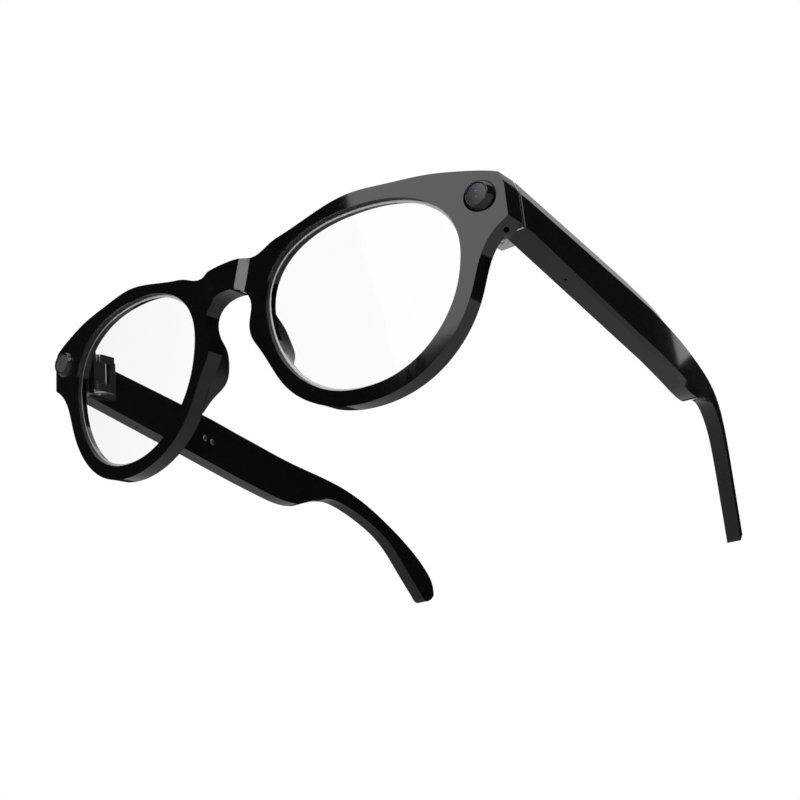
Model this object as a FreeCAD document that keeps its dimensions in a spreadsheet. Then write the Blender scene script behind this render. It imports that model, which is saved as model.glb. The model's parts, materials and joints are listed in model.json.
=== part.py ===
"""Camera glasses: a black plastic front with two lenses, and two folding temples that hold the electronics.

Millimetres. The parts are drawn in the front's own frame: the origin lies midway between the lenses at the
height of the lens centres, +X is the wearer's left, +Y runs back along the temples and +Z is up. At the end
every part gets one shared placement, the stance, which tips the glasses until the rims and the ear tips rest
on the plane z = 0, with the origin at the middle of the bottom of the whole box.
"""

import FreeCAD, Part
import math
import os

import Sketcher

from FreeCAD import Placement, Rotation, Vector

# Driving dimensions, millimetres (slopes are ratios, angles are degrees).
SIZES = {
    # lenses
    "lens_half_wide": 24.4,
    "lens_half_tall": 21.05,
    "lens_taper": 0.161,
    "lens_roundness": 0.904,
    "lens_drop": -0.8,
    "lens_thick": 1.8,
    "lens_edge": 0.9,
    "lens_setback": 1.5,
    # front
    "bridge_half_gap": 11.6,
    "bridge_top": 17.9,
    "bridge_tall": 7.0,
    "bridge_proud": 0.9,
    "bridge_flat": 8.4,
    "bridge_ramp": 2.75,
    "keyhole_half_wide": 7.3,
    "rim_wide": 3.5,
    "front_thick": 4.4,
    "front_radius": 320.0,
    "endpiece_reach": 11.35,
    "endpiece_top": 17.4,
    "endpiece_tall": 10.9,
    "endpiece_back": 14.0,
    "endpiece_floor": 1.2,
    # nose pads
    "pad_long": 21.0,
    "pad_proud": 4.7,
    "pad_thick": 2.6,
    # camera and indicator light
    "barrel_radius": 3.55,
    "barrel_nose_radius": 2.75,
    "barrel_proud": 1.45,
    "barrel_wall": 0.5,
    "barrel_deep": 6.0,
    "barrel_inset": 5.45,
    "barrel_drop": 4.1,
    "window_radius": 2.15,
    "window_thick": 0.8,
    "window_recess": 0.15,
    "stack_radius": 2.0,
    "stack_long": 3.6,
    "lamp_radius": 1.2,
    "lamp_long": 1.6,
    "chip_board_side": 4.2,
    "chip_board_thick": 0.8,
    "flex_wide": 3.0,
    "flex_thick": 0.3,
    "flex_aside": 1.8,
    # front microphone
    "port_long": 2.9,
    "port_wide": 1.6,
    "mic_long": 3.2,
    "mic_wide": 2.6,
    "mic_tall": 1.1,
    "mesh_thick": 0.2,
    "port_inset": 2.15,
    "mic_floor": 0.6,
    # hinge
    "plate_thick": 0.7,
    "plate_inward": 9.5,
    "axis_inward": 7.4,
    "axis_back": 3.5,
    "knuckle_radius": 2.1,
    "knuckle_tall": 5.9,
    "lug_tall": 2.2,
    "leaf_long": 4.8,
    "leaf_gap": 0.2,
    "leaf_thick": 1.3,
    "leaf_foot_thick": 0.9,
    "slot_inset": 0.9,
    "slot_wide": 2.4,
    "slot_tall": 4.0,
    "screw_inset": 1.3,
    "pin_radius": 0.7,
    "head_radius": 1.55,
    "head_tall": 0.6,
    "small_screw_radius": 0.5,
    "small_screw_long": 2.6,
    "small_head_radius": 0.8,
    "small_head_tall": 0.35,
    # temples
    "temple_thick": 5.0,
    "temple_top_slope": 0.178,
    "temple_bottom_slope": 0.243,
    "temple_raise": 0.1,
    "top_curve_lead": 28.0,
    "body_long": 76.0,
    "temple_splay": 0.02,
    "tip_inward": 15.5,
    "shell_wall": 1.2,
    "cavity_start": 13.0,
    "cavity_end": 81.0,
    "cavity_rim": 1.5,
    "cover_thick": 1.1,
    "battery_long": 18.5,
    "battery_tall": 9.8,
    "battery_thick": 2.2,
    "board_long": 34.0,
    "board_tall": 7.0,
    "board_thick": 0.8,
    "processor_side": 5.5,
    "processor_thick": 0.9,
    "speaker_long": 8.6,
    "speaker_tall": 7.0,
    "speaker_thick": 2.1,
    "outlet_long": 6.0,
    "outlet_wide": 1.2,
    "touch_long": 34.0,
    "touch_tall": 6.5,
    "touch_thick": 0.25,
    "core_thick": 1.2,
    "contact_radius": 0.9,
    "contact_spacing": 3.1,
    "contact_from_joint": 45.4,
    "contact_reach": 0.5,
    "battery_at": 60.5,
    "battery_depth": 2.65,
    "board_at": 31.0,
    "speaker_at": 75.0,
    "touch_at": 31.0,
    "mic_at": 20.0,
    "pinhole_radius": 0.4,
    "temple_mic_tall": 0.8,
    "core_from_body": 16.0,
    "core_long": 38.0,
    "core_cover": 2.1,
    # clearances
    "fit_gap": 0.05,
    "part_gap": 0.2,
}

BROW_STEPS = (125, 90, 60)  # degrees round the lens at which the brow follows the rim
RIM_STEPS = (-12, -35, -60, -90, -118, -142)  # degrees at which the lower edge follows the rim
LENS_POINTS = 28  # points that carry the lens formula
PAD_ANGLE = 187  # degrees round the lens at which the nose pad stands tallest
BLOCK_BEYOND = 2.0  # how far outside the lens, across X, the endpiece block starts
FAR = 60.0  # longer than any part is deep, for cutting tools

doc = FreeCAD.newDocument("camera_glasses")
sheet = doc.addObject("Spreadsheet::Sheet", "sizes")
for row, (alias, value) in enumerate(SIZES.items(), start=1):
    sheet.set(f"A{row}", alias)
    sheet.set(f"B{row}", str(value))
    sheet.setAlias(f"B{row}", alias)
doc.recompute()

size = {alias: float(sheet.get(alias)) for alias in SIZES}

# Places worked out from the driving dimensions, as numbers and as expressions on the sheet.
PLACES = {
    "lens_centre": "sizes.bridge_half_gap + sizes.lens_half_wide",
    "side": "sizes.bridge_half_gap + 2 * sizes.lens_half_wide + sizes.endpiece_reach",
    "endpiece_bottom": "sizes.endpiece_top - sizes.endpiece_tall",
    "plate_back": "sizes.endpiece_back + sizes.plate_thick",
    "temple_front": "sizes.endpiece_back + sizes.plate_thick + sizes.part_gap",
}
PLACES["temple_inner"] = f"{PLACES['side']} - sizes.temple_thick"
PLACES["axis_x"] = f"{PLACES['side']} - sizes.axis_inward"
PLACES["axis_y"] = "sizes.endpiece_back + sizes.axis_back"
PLACES["knuckle_mid"] = f"{PLACES['endpiece_bottom']} + sizes.endpiece_tall / 2"
PLACES["knuckle_bottom"] = f"{PLACES['knuckle_mid']} - sizes.knuckle_tall / 2"
PLACES["barrel_x"] = f"{PLACES['side']} - sizes.barrel_inset"
PLACES["barrel_z"] = "sizes.endpiece_top - sizes.barrel_drop"
place = {name: sheet.evalExpression(text.replace("sizes.", "")) for name, text in PLACES.items()}

subparts = {}  # node name -> document object


# ---------------------------------------------------------------- helpers

def bind(item, **expressions):
    """Binds properties of an object to expressions. A double underscore stands for a dot."""
    for name, text in expressions.items():
        item.setExpression(name.replace("__", "."), text)
    return item


def at(item, x, y, z):
    """Binds the base of an object's placement to three expressions."""
    for axis, text in zip("xyz", (x, y, z)):
        item.setExpression(f"Placement.Base.{axis}", str(text))
    return item


def box(name, x, y, z, wide, deep, tall, tilt=0.0):
    """A block with its low corner at x, y, z, turned by tilt degrees about the X direction there."""
    item = doc.addObject("Part::Box", name)
    item.Placement = Placement(Vector(), Rotation(Vector(1, 0, 0), tilt))
    bind(item, Length=str(wide), Width=str(deep), Height=str(tall))
    return at(item, x, y, z)


def upright(name, x, y, z, radius, tall):
    """A cylinder that stands on x, y, z."""
    item = doc.addObject("Part::Cylinder", name)
    bind(item, Radius=str(radius), Height=str(tall))
    return at(item, x, y, z)


def facing(name, x, y, z, radius, long, nose=None):
    """A cylinder, or a cone with a nose radius, that starts at x, y, z and points forward, along -Y."""
    item = doc.addObject("Part::Cone" if nose else "Part::Cylinder", name)
    item.Placement = Placement(Vector(), Rotation(Vector(1, 0, 0), 90))
    if nose:
        bind(item, Radius1=str(radius), Radius2=str(nose), Height=str(long))
    else:
        bind(item, Radius=str(radius), Height=str(long))
    return at(item, x, y, z)


def sideways(name, x, y, z, radius, long):
    """A cylinder that starts at x, y, z and points along +X."""
    item = doc.addObject("Part::Cylinder", name)
    item.Placement = Placement(Vector(), Rotation(Vector(0, 1, 0), 90))
    bind(item, Radius=str(radius), Height=str(long))
    return at(item, x, y, z)


def fuse(name, *items):
    """One solid from several objects."""
    item = doc.addObject("Part::MultiFuse", name)
    item.Shapes = list(items)
    item.Refine = True
    return item


def cut(name, base, *tools):
    """The base object with the tool objects taken away."""
    item = doc.addObject("Part::Cut", name)
    item.Base = base
    item.Tool = tools[0] if len(tools) == 1 else fuse(name + "_tools", *tools)
    return item


def group(name, *items):
    """Separate solids, or one solid, under one name."""
    item = doc.addObject("Part::Compound", name)
    item.Links = list(items)
    return item


def feature(name, shape):
    """A document object that holds a shape made with Part's own functions."""
    item = doc.addObject("Part::Feature", name)
    item.Shape = shape
    return item


def subpart(node, item):
    """Registers an object as the sub-part of that name."""
    item.Label = node
    subparts[node] = item
    return item


def reflect(name, source):
    """The same object on the other side of the wearer's face."""
    item = doc.addObject("Part::Mirroring", name)
    item.Source = source
    item.Normal = Vector(1, 0, 0)
    return item


def mirror(node, source):
    """The same sub-part on the other side of the wearer's face."""
    return subpart(node, reflect(node, source))


def small_screw(name, way, x, y, z):
    """A countersunk screw that starts at x, y, z and runs the given way, and the hole it sits in."""
    sizes = (("shank", "sizes.small_screw_radius", "sizes.small_screw_long"),
             ("head", "sizes.small_head_radius", "sizes.small_head_tall"))
    screw = [way(f"{name}_{part}", x, y, z, radius, long) for part, radius, long in sizes]
    hole = [way(f"{name}_{part}_hole", x, y, z, f"{radius} + sizes.fit_gap", f"{long} + sizes.fit_gap")
            for part, radius, long in sizes]
    return fuse(name, *screw), fuse(name + "_hole", *hole)


def spline(points, closed=False):
    """An edge through points."""
    curve = Part.BSplineCurve()
    if closed:
        curve.interpolate(Points=points, PeriodicFlag=True)
    else:
        curve.interpolate(points)
    return curve.toShape()


def prism(wire, start, length):
    """The solid that a closed flat wire sweeps from start along a direction given by length."""
    face = Part.Face(wire)
    face.translate(start)
    return face.extrude(length)


# ---------------------------------------------------------------- lens and rim curves

def lens_point(degrees, offset=0.0):
    """The point (x, z) of the left lens outline at an angle round it, moved outward by offset."""
    def raw(angle):
        c, s = math.cos(angle), math.sin(angle)
        c = math.copysign(abs(c) ** size["lens_roundness"], c)
        s = math.copysign(abs(s) ** size["lens_roundness"], s)
        x = size["lens_half_wide"] * c * (1 + size["lens_taper"] * s)
        return place["lens_centre"] + x, size["lens_half_tall"] * s + size["lens_drop"]

    angle, step = math.radians(degrees), 0.02
    x, z = raw(angle)
    (x0, z0), (x1, z1) = raw(angle - step), raw(angle + step)
    reach = math.hypot(x1 - x0, z1 - z0)
    return x + offset * (z1 - z0) / reach, z - offset * (x1 - x0) / reach


def lens_prism(offset):
    """A prism along Y with the lens outline moved outward by offset."""
    angles = [(i + 0.5) * 360.0 / LENS_POINTS for i in range(LENS_POINTS)]
    points = [Vector(x, 0, z) for x, z in (lens_point(a, offset) for a in angles)]
    return prism(Part.Wire(spline(points, closed=True)), Vector(0, -FAR / 4, 0), Vector(0, FAR, 0))


def front_y(x):
    """How far back the front surface lies at x."""
    return size["front_radius"] - math.sqrt(size["front_radius"] ** 2 - x * x)


def shell(near, far):
    """The curved layer of the front between two depths behind its surface."""
    layers = []
    for depth in (near, far):
        base = Vector(0, size["front_radius"], -FAR)
        layers.append(Part.makeCylinder(size["front_radius"] - depth, 2 * FAR, base, Vector(0, 0, 1)))
    return layers[0].cut(layers[1])


def front_wire():
    """The closed outline of the front, seen from the front, symmetric about x = 0."""
    rim, side = size["rim_wide"], place["side"]
    top, hole = size["bridge_top"], size["keyhole_half_wide"]
    arch = top - size["bridge_tall"]
    brow = [(0, top), (5, top - 0.3), (9.3, top - 0.8), (14.3, top + 1.1)]
    brow += [lens_point(a, rim) for a in BROW_STEPS]
    brow += [(side - 7.5, size["endpiece_top"] + 2.1), (side, size["endpiece_top"])]
    low = place["endpiece_bottom"]
    under = [(side, low), (side - 3.3, low - 2.4), (side - 6.2, low - 6.1)]
    under += [lens_point(a, rim) for a in RIM_STEPS]
    under += [(hole + 1.6, -5.7), (hole - 0.7, -1.6), (hole - 0.8, 1.6), (hole, arch - 5.6)]
    under += [(hole - 1.2, arch - 2.2), (hole - 4.2, arch - 0.4), (0, arch)]
    edges = []
    for half in (brow, under):
        points = [Vector(x, 0, z) for x, z in half]
        others = [Vector(-p.x, 0, p.z) for p in points if p.x > 0]
        if points[0].x == 0:
            points = others[::-1] + points
        else:
            points = points + others[::-1]
        edges.append(spline(points))
    for sign in (1, -1):
        edges.append(Part.makeLine(Vector(sign * side, 0, size["endpiece_top"]), Vector(sign * side, 0, low)))
    return Part.Wire(Part.__sortEdges__(edges))


# ---------------------------------------------------------------- front

BARREL_FRONT = f"{front_y(place['barrel_x']):.6f}"  # where the barrel's axis meets the front surface
BARREL_BACK = f"({BARREL_FRONT} + sizes.barrel_deep)"
WINDOW_BACK = f"({BARREL_FRONT} - sizes.barrel_proud + sizes.window_recess + sizes.window_thick)"
STACK_BACK = f"({WINDOW_BACK} + sizes.part_gap + sizes.stack_long)"
FLEX_X = f"({PLACES['barrel_x']} + sizes.flex_aside)"
PORT_X = f"({PLACES['side']} - sizes.port_inset)"
PORT_Y = "(sizes.endpiece_back - sizes.mic_long)"
MIC_X = f"({PORT_X} - sizes.mic_wide / 2)"
MIC_Y = f"({PORT_Y} - sizes.mic_long / 2)"
MIC_Z = f"({PLACES['endpiece_bottom']} + sizes.mic_floor)"


def mirrored(shape):
    """The same shape on the other side of x = 0."""
    return shape.mirror(Vector(), Vector(1, 0, 0))


def bridge_saddle():
    """The flat middle of the bridge, which stands proud of the rims, with a ramp on each side."""
    flat, proud = size["bridge_flat"] / 2, size["bridge_proud"]
    out, back = flat + size["bridge_ramp"], size["front_thick"] / 2
    corners = [(-out, back), (-out, 0), (-flat, -proud), (flat, -proud), (out, 0), (out, back)]
    low = size["bridge_top"] - size["bridge_tall"] - size["front_thick"] / 2
    wire = Part.makePolygon([Vector(x, y, low) for x, y in corners + corners[:1]])
    return Part.Face(wire).extrude(Vector(0, 0, FAR))


def build_front_blank():
    """The plastic front with its lens openings and grooves, before the pockets are cut."""
    body = prism(front_wire(), Vector(0, -FAR / 4, 0), Vector(0, FAR, 0))
    plate = body.common(shell(0, size["front_thick"]))
    block_in = place["lens_centre"] + size["lens_half_wide"] + BLOCK_BEYOND
    floor = place["endpiece_bottom"] - size["endpiece_floor"]
    block = Part.makeBox(FAR, size["endpiece_back"] + FAR, FAR, Vector(block_in, -FAR, floor))
    block = block.common(body).common(shell(0, FAR))
    plate = plate.fuse([block, mirrored(block), bridge_saddle().common(body)]).removeSplitter()
    lens_in = size["lens_setback"] - size["fit_gap"]
    groove = lens_prism(size["lens_edge"] + size["fit_gap"])
    groove = groove.common(shell(lens_in, size["lens_setback"] + size["lens_thick"] + size["fit_gap"]))
    opening = lens_prism(0).fuse(groove)
    return feature("front_blank", plate.cut([opening, mirrored(opening)]))


def build_front(blank, screw_holes):
    """The front frame: the blank with its seats, ribbon slots, microphone pocket and screw holes."""
    tools = list(screw_holes) + [reflect(hole.Name + "_right", hole) for hole in screw_holes]
    for name, sign in (("left", 1), ("right", -1)):
        tools.append(facing(f"barrel_pocket_{name}", f"{sign} * ({PLACES['barrel_x']})",
                            f"{BARREL_BACK} + sizes.fit_gap", PLACES["barrel_z"],
                            "sizes.barrel_radius + sizes.fit_gap", FAR / 4))
        tools.append(box(f"flex_way_{name}", f"{sign} * {FLEX_X} - sizes.flex_thick", BARREL_BACK,
                         f"{PLACES['barrel_z']} - sizes.flex_wide / 2 - sizes.part_gap",
                         "2 * sizes.flex_thick", FAR / 4, "sizes.flex_wide + 2 * sizes.part_gap"))
    tools.append(box("mic_pocket", f"{MIC_X} - sizes.fit_gap", MIC_Y, f"{MIC_Z} - sizes.fit_gap",
                     "sizes.mic_wide + 2 * sizes.fit_gap", FAR / 4, "sizes.mic_tall + 2 * sizes.fit_gap"))
    tools.append(mic_port())
    return subpart("front_frame", cut("front_frame", blank, *tools))


def mic_port():
    """The upright oval hole from the underside of the left endpiece to the front microphone."""
    half = "(sizes.port_long - sizes.port_wide) / 2"
    low = f"{MIC_Z} - {FAR / 8}"
    ends = [upright(f"port_end_{i}", f"{PORT_X} + {sign} * {half}", PORT_Y, low, "sizes.port_wide / 2",
                    FAR / 8) for i, sign in enumerate((1, -1))]
    middle = box("port_middle", f"{PORT_X} - {half}", f"{PORT_Y} - sizes.port_wide / 2", low,
                 f"2 * {half}", "sizes.port_wide", FAR / 8)
    return fuse("mic_port", middle, *ends)


def build_lenses():
    """Each lens follows the curve of the front and sits in its groove."""
    depth = size["lens_setback"]
    shape = lens_prism(size["lens_edge"]).common(shell(depth, depth + size["lens_thick"]))
    left = subpart("lens_left", group("lens_left", feature("lens_blank", shape)))
    mirror("lens_right", left)


def build_nose_pads():
    """Each nose pad is a fin that follows the rim beside the nose, bonded behind it, with a round crest."""
    rim, proud, half = size["rim_wide"], size["pad_proud"], size["pad_long"] / 2
    x, z = lens_point(PAD_ANGLE, rim)
    inner_x, inner_z = lens_point(PAD_ANGLE, 0)
    radius = (half ** 2 + proud ** 2) / (2 * proud)
    crest = front_y(x) + size["front_thick"] + proud
    across = Vector(x - inner_x, 0, z - inner_z).normalize()
    start = Vector(x, crest - radius, z) - across * FAR / 4
    disc = Part.makeCylinder(radius, FAR / 2, start, across)
    strip = lens_prism(rim).cut(lens_prism(rim - size["pad_thick"]))
    near_nose = Part.makeBox(place["lens_centre"], 2 * FAR, 2 * FAR, Vector(0, -FAR, -FAR))
    space = shell(size["front_thick"] + size["fit_gap"], FAR)
    fin = feature("pad_blank", strip.common(disc).common(near_nose).common(space))
    mirror("nose_pad_right", subpart("nose_pad_left", group("nose_pad_left", fin)))


# ---------------------------------------------------------------- camera and indicator light

def build_barrel():
    """The stepped ring that carries the window and stands proud of the front."""
    x, z = PLACES["barrel_x"], PLACES["barrel_z"]
    seat = facing("barrel_seat", x, BARREL_BACK, z, "sizes.barrel_radius", "sizes.barrel_deep")
    nose = facing("barrel_nose", x, BARREL_FRONT, z, "sizes.barrel_radius", "sizes.barrel_proud",
                  nose="sizes.barrel_nose_radius")
    bore = facing("barrel_bore", x, BARREL_BACK, z, "sizes.barrel_radius - sizes.barrel_wall",
                  "sizes.barrel_deep - sizes.barrel_wall")
    eye = facing("barrel_eye", x, BARREL_BACK, z, "sizes.window_radius + sizes.fit_gap", FAR / 4)
    left = subpart("camera_barrel", cut("camera_barrel", fuse("barrel_solid", seat, nose), bore, eye))
    mirror("led_barrel", left)


def build_optics():
    """The windows, the lens stack and the little boards inside the barrels, with their ribbons."""
    x, z = PLACES["barrel_x"], PLACES["barrel_z"]
    disc = facing("window_disc", x, WINDOW_BACK, z, "sizes.window_radius", "sizes.window_thick")
    mirror("led_window", subpart("camera_window", group("camera_window", disc)))
    tube = facing("stack_tube", x, STACK_BACK, z, "sizes.stack_radius", "sizes.stack_long")
    cup = facing("stack_cup", x, f"{STACK_BACK} - sizes.stack_long / 2", z, "sizes.stack_radius / 2", FAR / 4)
    subpart("camera_lens_stack", cut("camera_lens_stack", tube, cup))
    half = "sizes.chip_board_side / 2"
    for node, sign in (("camera_board", 1), ("led_board", -1)):
        centre = f"{sign} * ({x})"
        board = box(node + "_plate", f"{centre} - {half}", STACK_BACK, f"{z} - {half}",
                    "sizes.chip_board_side", "sizes.chip_board_thick", "sizes.chip_board_side")
        if node == "led_board":
            lamp = facing("led_lamp", centre, STACK_BACK, z, "sizes.lamp_radius", "sizes.lamp_long")
            subpart(node, fuse(node, board, lamp))
        else:
            subpart(node, group(node, board))
    start = f"({STACK_BACK} + sizes.chip_board_thick)"
    ribbon = box("flex_ribbon", f"{FLEX_X} - sizes.flex_thick / 2", start, f"{z} - sizes.flex_wide / 2",
                 "sizes.flex_thick", f"{PLACES['plate_back']} - {start}", "sizes.flex_wide")
    mirror("led_flex", subpart("camera_flex", group("camera_flex", ribbon)))


def build_front_microphone():
    """The microphone lies on its mesh over the oval port under the left endpiece."""
    can = box("mic_can", MIC_X, MIC_Y, f"{MIC_Z} + sizes.mesh_thick", "sizes.mic_wide", "sizes.mic_long",
              "sizes.mic_tall - sizes.mesh_thick")
    subpart("front_microphone", group("front_microphone", can))
    mesh = box("mesh_sheet", MIC_X, MIC_Y, MIC_Z, "sizes.mic_wide", "sizes.mic_long", "sizes.mesh_thick")
    subpart("front_mic_mesh", group("front_mic_mesh", mesh))


# ---------------------------------------------------------------- hinges

def rectangle(body, name, role, low_x, low_y, wide, tall, lift=None):
    """A sketch on a plane of the body with one rectangle whose place and size are expressions."""
    sketch = body.newObject("Sketcher::SketchObject", name)
    plane = [f for f in body.Origin.OriginFeatures if f.Role == role][0]
    sketch.AttachmentSupport = [(plane, "")]
    sketch.MapMode = "FlatFace"
    if lift:
        sketch.setExpression("AttachmentOffset.Base.z", lift)
    corners = [Vector(1, 1, 0), Vector(2, 1, 0), Vector(2, 2, 0), Vector(1, 2, 0)]
    sketch.addGeometry([Part.LineSegment(corners[i], corners[(i + 1) % 4]) for i in range(4)], False)
    for i in range(4):
        sketch.addConstraint(Sketcher.Constraint("Coincident", i, 2, (i + 1) % 4, 1))
    for i, kind in enumerate(("Horizontal", "Vertical", "Horizontal", "Vertical")):
        sketch.addConstraint(Sketcher.Constraint(kind, i))
    driven = (("DistanceX", (-1, 1, 0, 1), low_x), ("DistanceY", (-1, 1, 0, 1), low_y),
              ("DistanceX", (0, 1, 0, 2), wide), ("DistanceY", (1, 1, 1, 2), tall))
    for i, (kind, ends, text) in enumerate(driven):
        index = sketch.addConstraint(Sketcher.Constraint(kind, *ends, 1.0))
        sketch.renameConstraint(index, f"size_{i}")
        sketch.setExpression(f"Constraints.size_{i}", text)
    return sketch


def build_hinge_plate():
    """The metal plate on the back of the endpiece, with the knuckle that the temple turns about."""
    body = doc.addObject("PartDesign::Body", "hinge_plate_left")
    body.Placement = Placement(Vector(0, place["plate_back"], 0), Rotation())
    edge = f"{PLACES['side']} - sizes.plate_inward"
    pad = body.newObject("PartDesign::Pad", "plate_pad")
    pad.Profile = rectangle(body, "plate_outline", "XZ_Plane", edge, PLACES["endpiece_bottom"],
                            "sizes.plate_inward", "sizes.endpiece_tall")
    bind(pad, Length="sizes.plate_thick")
    doc.recompute()
    knuckle = body.newObject("PartDesign::Pad", "knuckle_block")
    knuckle.Profile = rectangle(body, "knuckle_outline", "XY_Plane",
                                f"{PLACES['axis_x']} - sizes.knuckle_radius", "-sizes.plate_thick / 2",
                                "2 * sizes.knuckle_radius", "sizes.axis_back - sizes.plate_thick / 2",
                                lift=PLACES["knuckle_bottom"])
    bind(knuckle, Length="sizes.knuckle_tall")
    doc.recompute()
    for name, low_x, low_z, wide in (
            ("tooling_slot", f"{edge} + sizes.slot_inset", f"{PLACES['barrel_z']} - sizes.slot_tall / 2",
             "sizes.slot_wide"),
            ("ribbon_slot", f"{FLEX_X} - sizes.flex_thick", f"{PLACES['barrel_z']} - sizes.slot_tall / 2",
             "2 * sizes.flex_thick")):
        pocket = body.newObject("PartDesign::Pocket", name)
        pocket.Profile = rectangle(body, name + "_outline", "XZ_Plane", low_x, low_z, wide, "sizes.slot_tall")
        pocket.Midplane = True
        bind(pocket, Length="2 * sizes.plate_thick + 2 * sizes.part_gap")
        doc.recompute()
    return body


def build_plate_screws():
    """The screws that hold each hinge plate to the endpiece, and their holes."""
    spots = ((f"{PLACES['side']} - sizes.screw_inset", "sizes.endpiece_top - sizes.screw_inset"),
             (f"{PLACES['side']} - sizes.plate_inward + sizes.screw_inset",
              f"{PLACES['endpiece_bottom']} + sizes.screw_inset"))
    pairs = [small_screw(f"plate_screw_{i}", facing, x, PLACES["plate_back"], z)
             for i, (x, z) in enumerate(spots)]
    screws, holes = zip(*pairs)
    mirror("plate_screws_right", subpart("plate_screws_left", group("plate_screws_left", *screws)))
    return holes


def build_hinges(plate_holes):
    """The front plates, the temple leaves and the pivot screws; returns the leaf screws' holes."""
    ax, ay, low = PLACES["axis_x"], PLACES["axis_y"], PLACES["knuckle_bottom"]
    top = f"({low} + sizes.knuckle_tall)"
    blank = build_hinge_plate()
    barrel = upright("knuckle_round", ax, ay, low, "sizes.knuckle_radius", "sizes.knuckle_tall")
    hole = upright("knuckle_hole", ax, ay, f"{low} - 1", "sizes.pin_radius + sizes.fit_gap",
                   "sizes.knuckle_tall + 2")
    plate = cut("hinge_plate_solid", fuse("hinge_plate_joined", blank, barrel), hole, *plate_holes)
    mirror("hinge_plate_right", subpart("hinge_plate_left", group("hinge_plate_left_node", plate)))

    lugs = []
    leaf_z = f"({low} - sizes.part_gap - sizes.lug_tall)"
    for name, start in (("low", leaf_z), ("high", f"{top} + sizes.part_gap")):
        lugs.append(upright(f"lug_{name}", ax, ay, start, "sizes.knuckle_radius", "sizes.lug_tall"))
        lugs.append(box(f"lug_{name}_arm", f"{ax} - sizes.knuckle_radius", ay, start,
                        "2 * sizes.knuckle_radius", "sizes.knuckle_radius + sizes.leaf_gap + 1",
                        "sizes.lug_tall"))
    leaf_y = f"({ay} + sizes.knuckle_radius + sizes.leaf_gap)"
    leaf_tall = "(sizes.knuckle_tall + 2 * sizes.part_gap + 2 * sizes.lug_tall)"
    leaf_x = f"({ax} - sizes.knuckle_radius)"
    foot_x = f"({PLACES['temple_inner']} - sizes.fit_gap - sizes.leaf_foot_thick)"
    leaf = box("leaf_block", leaf_x, leaf_y, leaf_z, f"{foot_x} + sizes.leaf_foot_thick - {leaf_x}",
               "sizes.leaf_thick", leaf_tall)
    foot = box("leaf_foot", foot_x, leaf_y, leaf_z, "sizes.leaf_foot_thick", "sizes.leaf_long", leaf_tall)
    pin_hole = upright("leaf_hole", ax, ay, f"{leaf_z} - 1", "sizes.pin_radius + sizes.fit_gap", FAR / 2)
    sink = upright("head_sink", ax, ay, leaf_z, "sizes.head_radius + sizes.fit_gap",
                   "sizes.head_tall + sizes.fit_gap")
    screw_y = f"{leaf_y} + sizes.leaf_long - sizes.screw_inset"
    pairs = [small_screw(f"leaf_screw_{i}", sideways, foot_x, screw_y, f"{leaf_z} + {share} * {leaf_tall}")
             for i, share in enumerate((0.25, 0.75))]
    screws, holes = zip(*pairs)
    solid = cut("leaf_solid", fuse("leaf_joined", leaf, foot, *lugs), pin_hole, sink, *holes)
    mirror("hinge_leaf_right", subpart("hinge_leaf_left", group("hinge_leaf_left", solid)))
    mirror("leaf_screws_right", subpart("leaf_screws_left", group("leaf_screws_left", *screws)))

    shank = upright("pivot_shank", ax, ay, leaf_z, "sizes.pin_radius", leaf_tall)
    head = upright("pivot_head", ax, ay, leaf_z, "sizes.head_radius", "sizes.head_tall")
    crosses = [box(f"head_cross_{i}", f"{ax} - {wide} / 2", f"{ay} - {deep} / 2", leaf_z, wide, deep,
                   "sizes.head_tall / 2")
               for i, (wide, deep) in enumerate((("0.35", "1.8"), ("1.8", "0.35")))]
    pivot = cut("pivot_solid", fuse("pivot_joined", shank, head), *crosses)
    mirror("pivot_screw_right", subpart("pivot_screw_left", group("pivot_screw_left", pivot)))
    return holes


# ---------------------------------------------------------------- temples

def temple_line(y, slope, start):
    """Height of a straight temple edge that starts at the joint and falls by slope."""
    return start - slope * (y - place["temple_front"])


def temple_edges():
    """The temple's top and bottom edges from the side: for each, its first point and the points after it."""
    front, end = place["temple_front"], place["temple_front"] + size["body_long"]
    top_start = size["endpiece_top"] + size["temple_raise"]
    low_start = place["endpiece_bottom"] - size["temple_raise"]
    bend = end - size["top_curve_lead"]
    top_end = temple_line(bend, size["temple_top_slope"], top_start)
    low_end = temple_line(end, size["temple_bottom_slope"], low_start)
    # steps from the end of each straight part, back along Y and down
    top_steps = ((0, 0), (20, 4.6), (38, 9.1), (56, 13.7), (65, 17.9), (74, 24.8), (83, 34.0), (89, 42.4),
                 (90.7, 46.5), (90.9, 50.2))
    low_steps = ((0, 0), (6, 0.9), (11, 0.7), (16, -0.7), (21, -1.9), (26, -2.0), (30, -0.9), (39, 3.8),
                 (45, 8.6), (49, 13.6), (52, 18.7), (55.3, 24.6), (57.8, 28.9))
    top = [Vector(0, bend + dy, top_end - dz) for dy, dz in top_steps]
    low = [Vector(0, end + dy, low_end - dz) for dy, dz in low_steps]
    return (Vector(0, front, top_start), top), (Vector(0, front, low_start), low)


def grown(face, offset):
    """A flat face with its outline moved outward by offset, where every offset curve becomes a spline."""
    edges = []
    for edge in face.makeOffset2D(offset).Edges:
        if isinstance(edge.Curve, Part.OffsetCurve):
            edge = edge.Curve.toBSpline(edge.FirstParameter, edge.LastParameter).toShape()
        edges.append(edge)
    return Part.Face(Part.Wire(Part.__sortEdges__(edges)))


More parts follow.
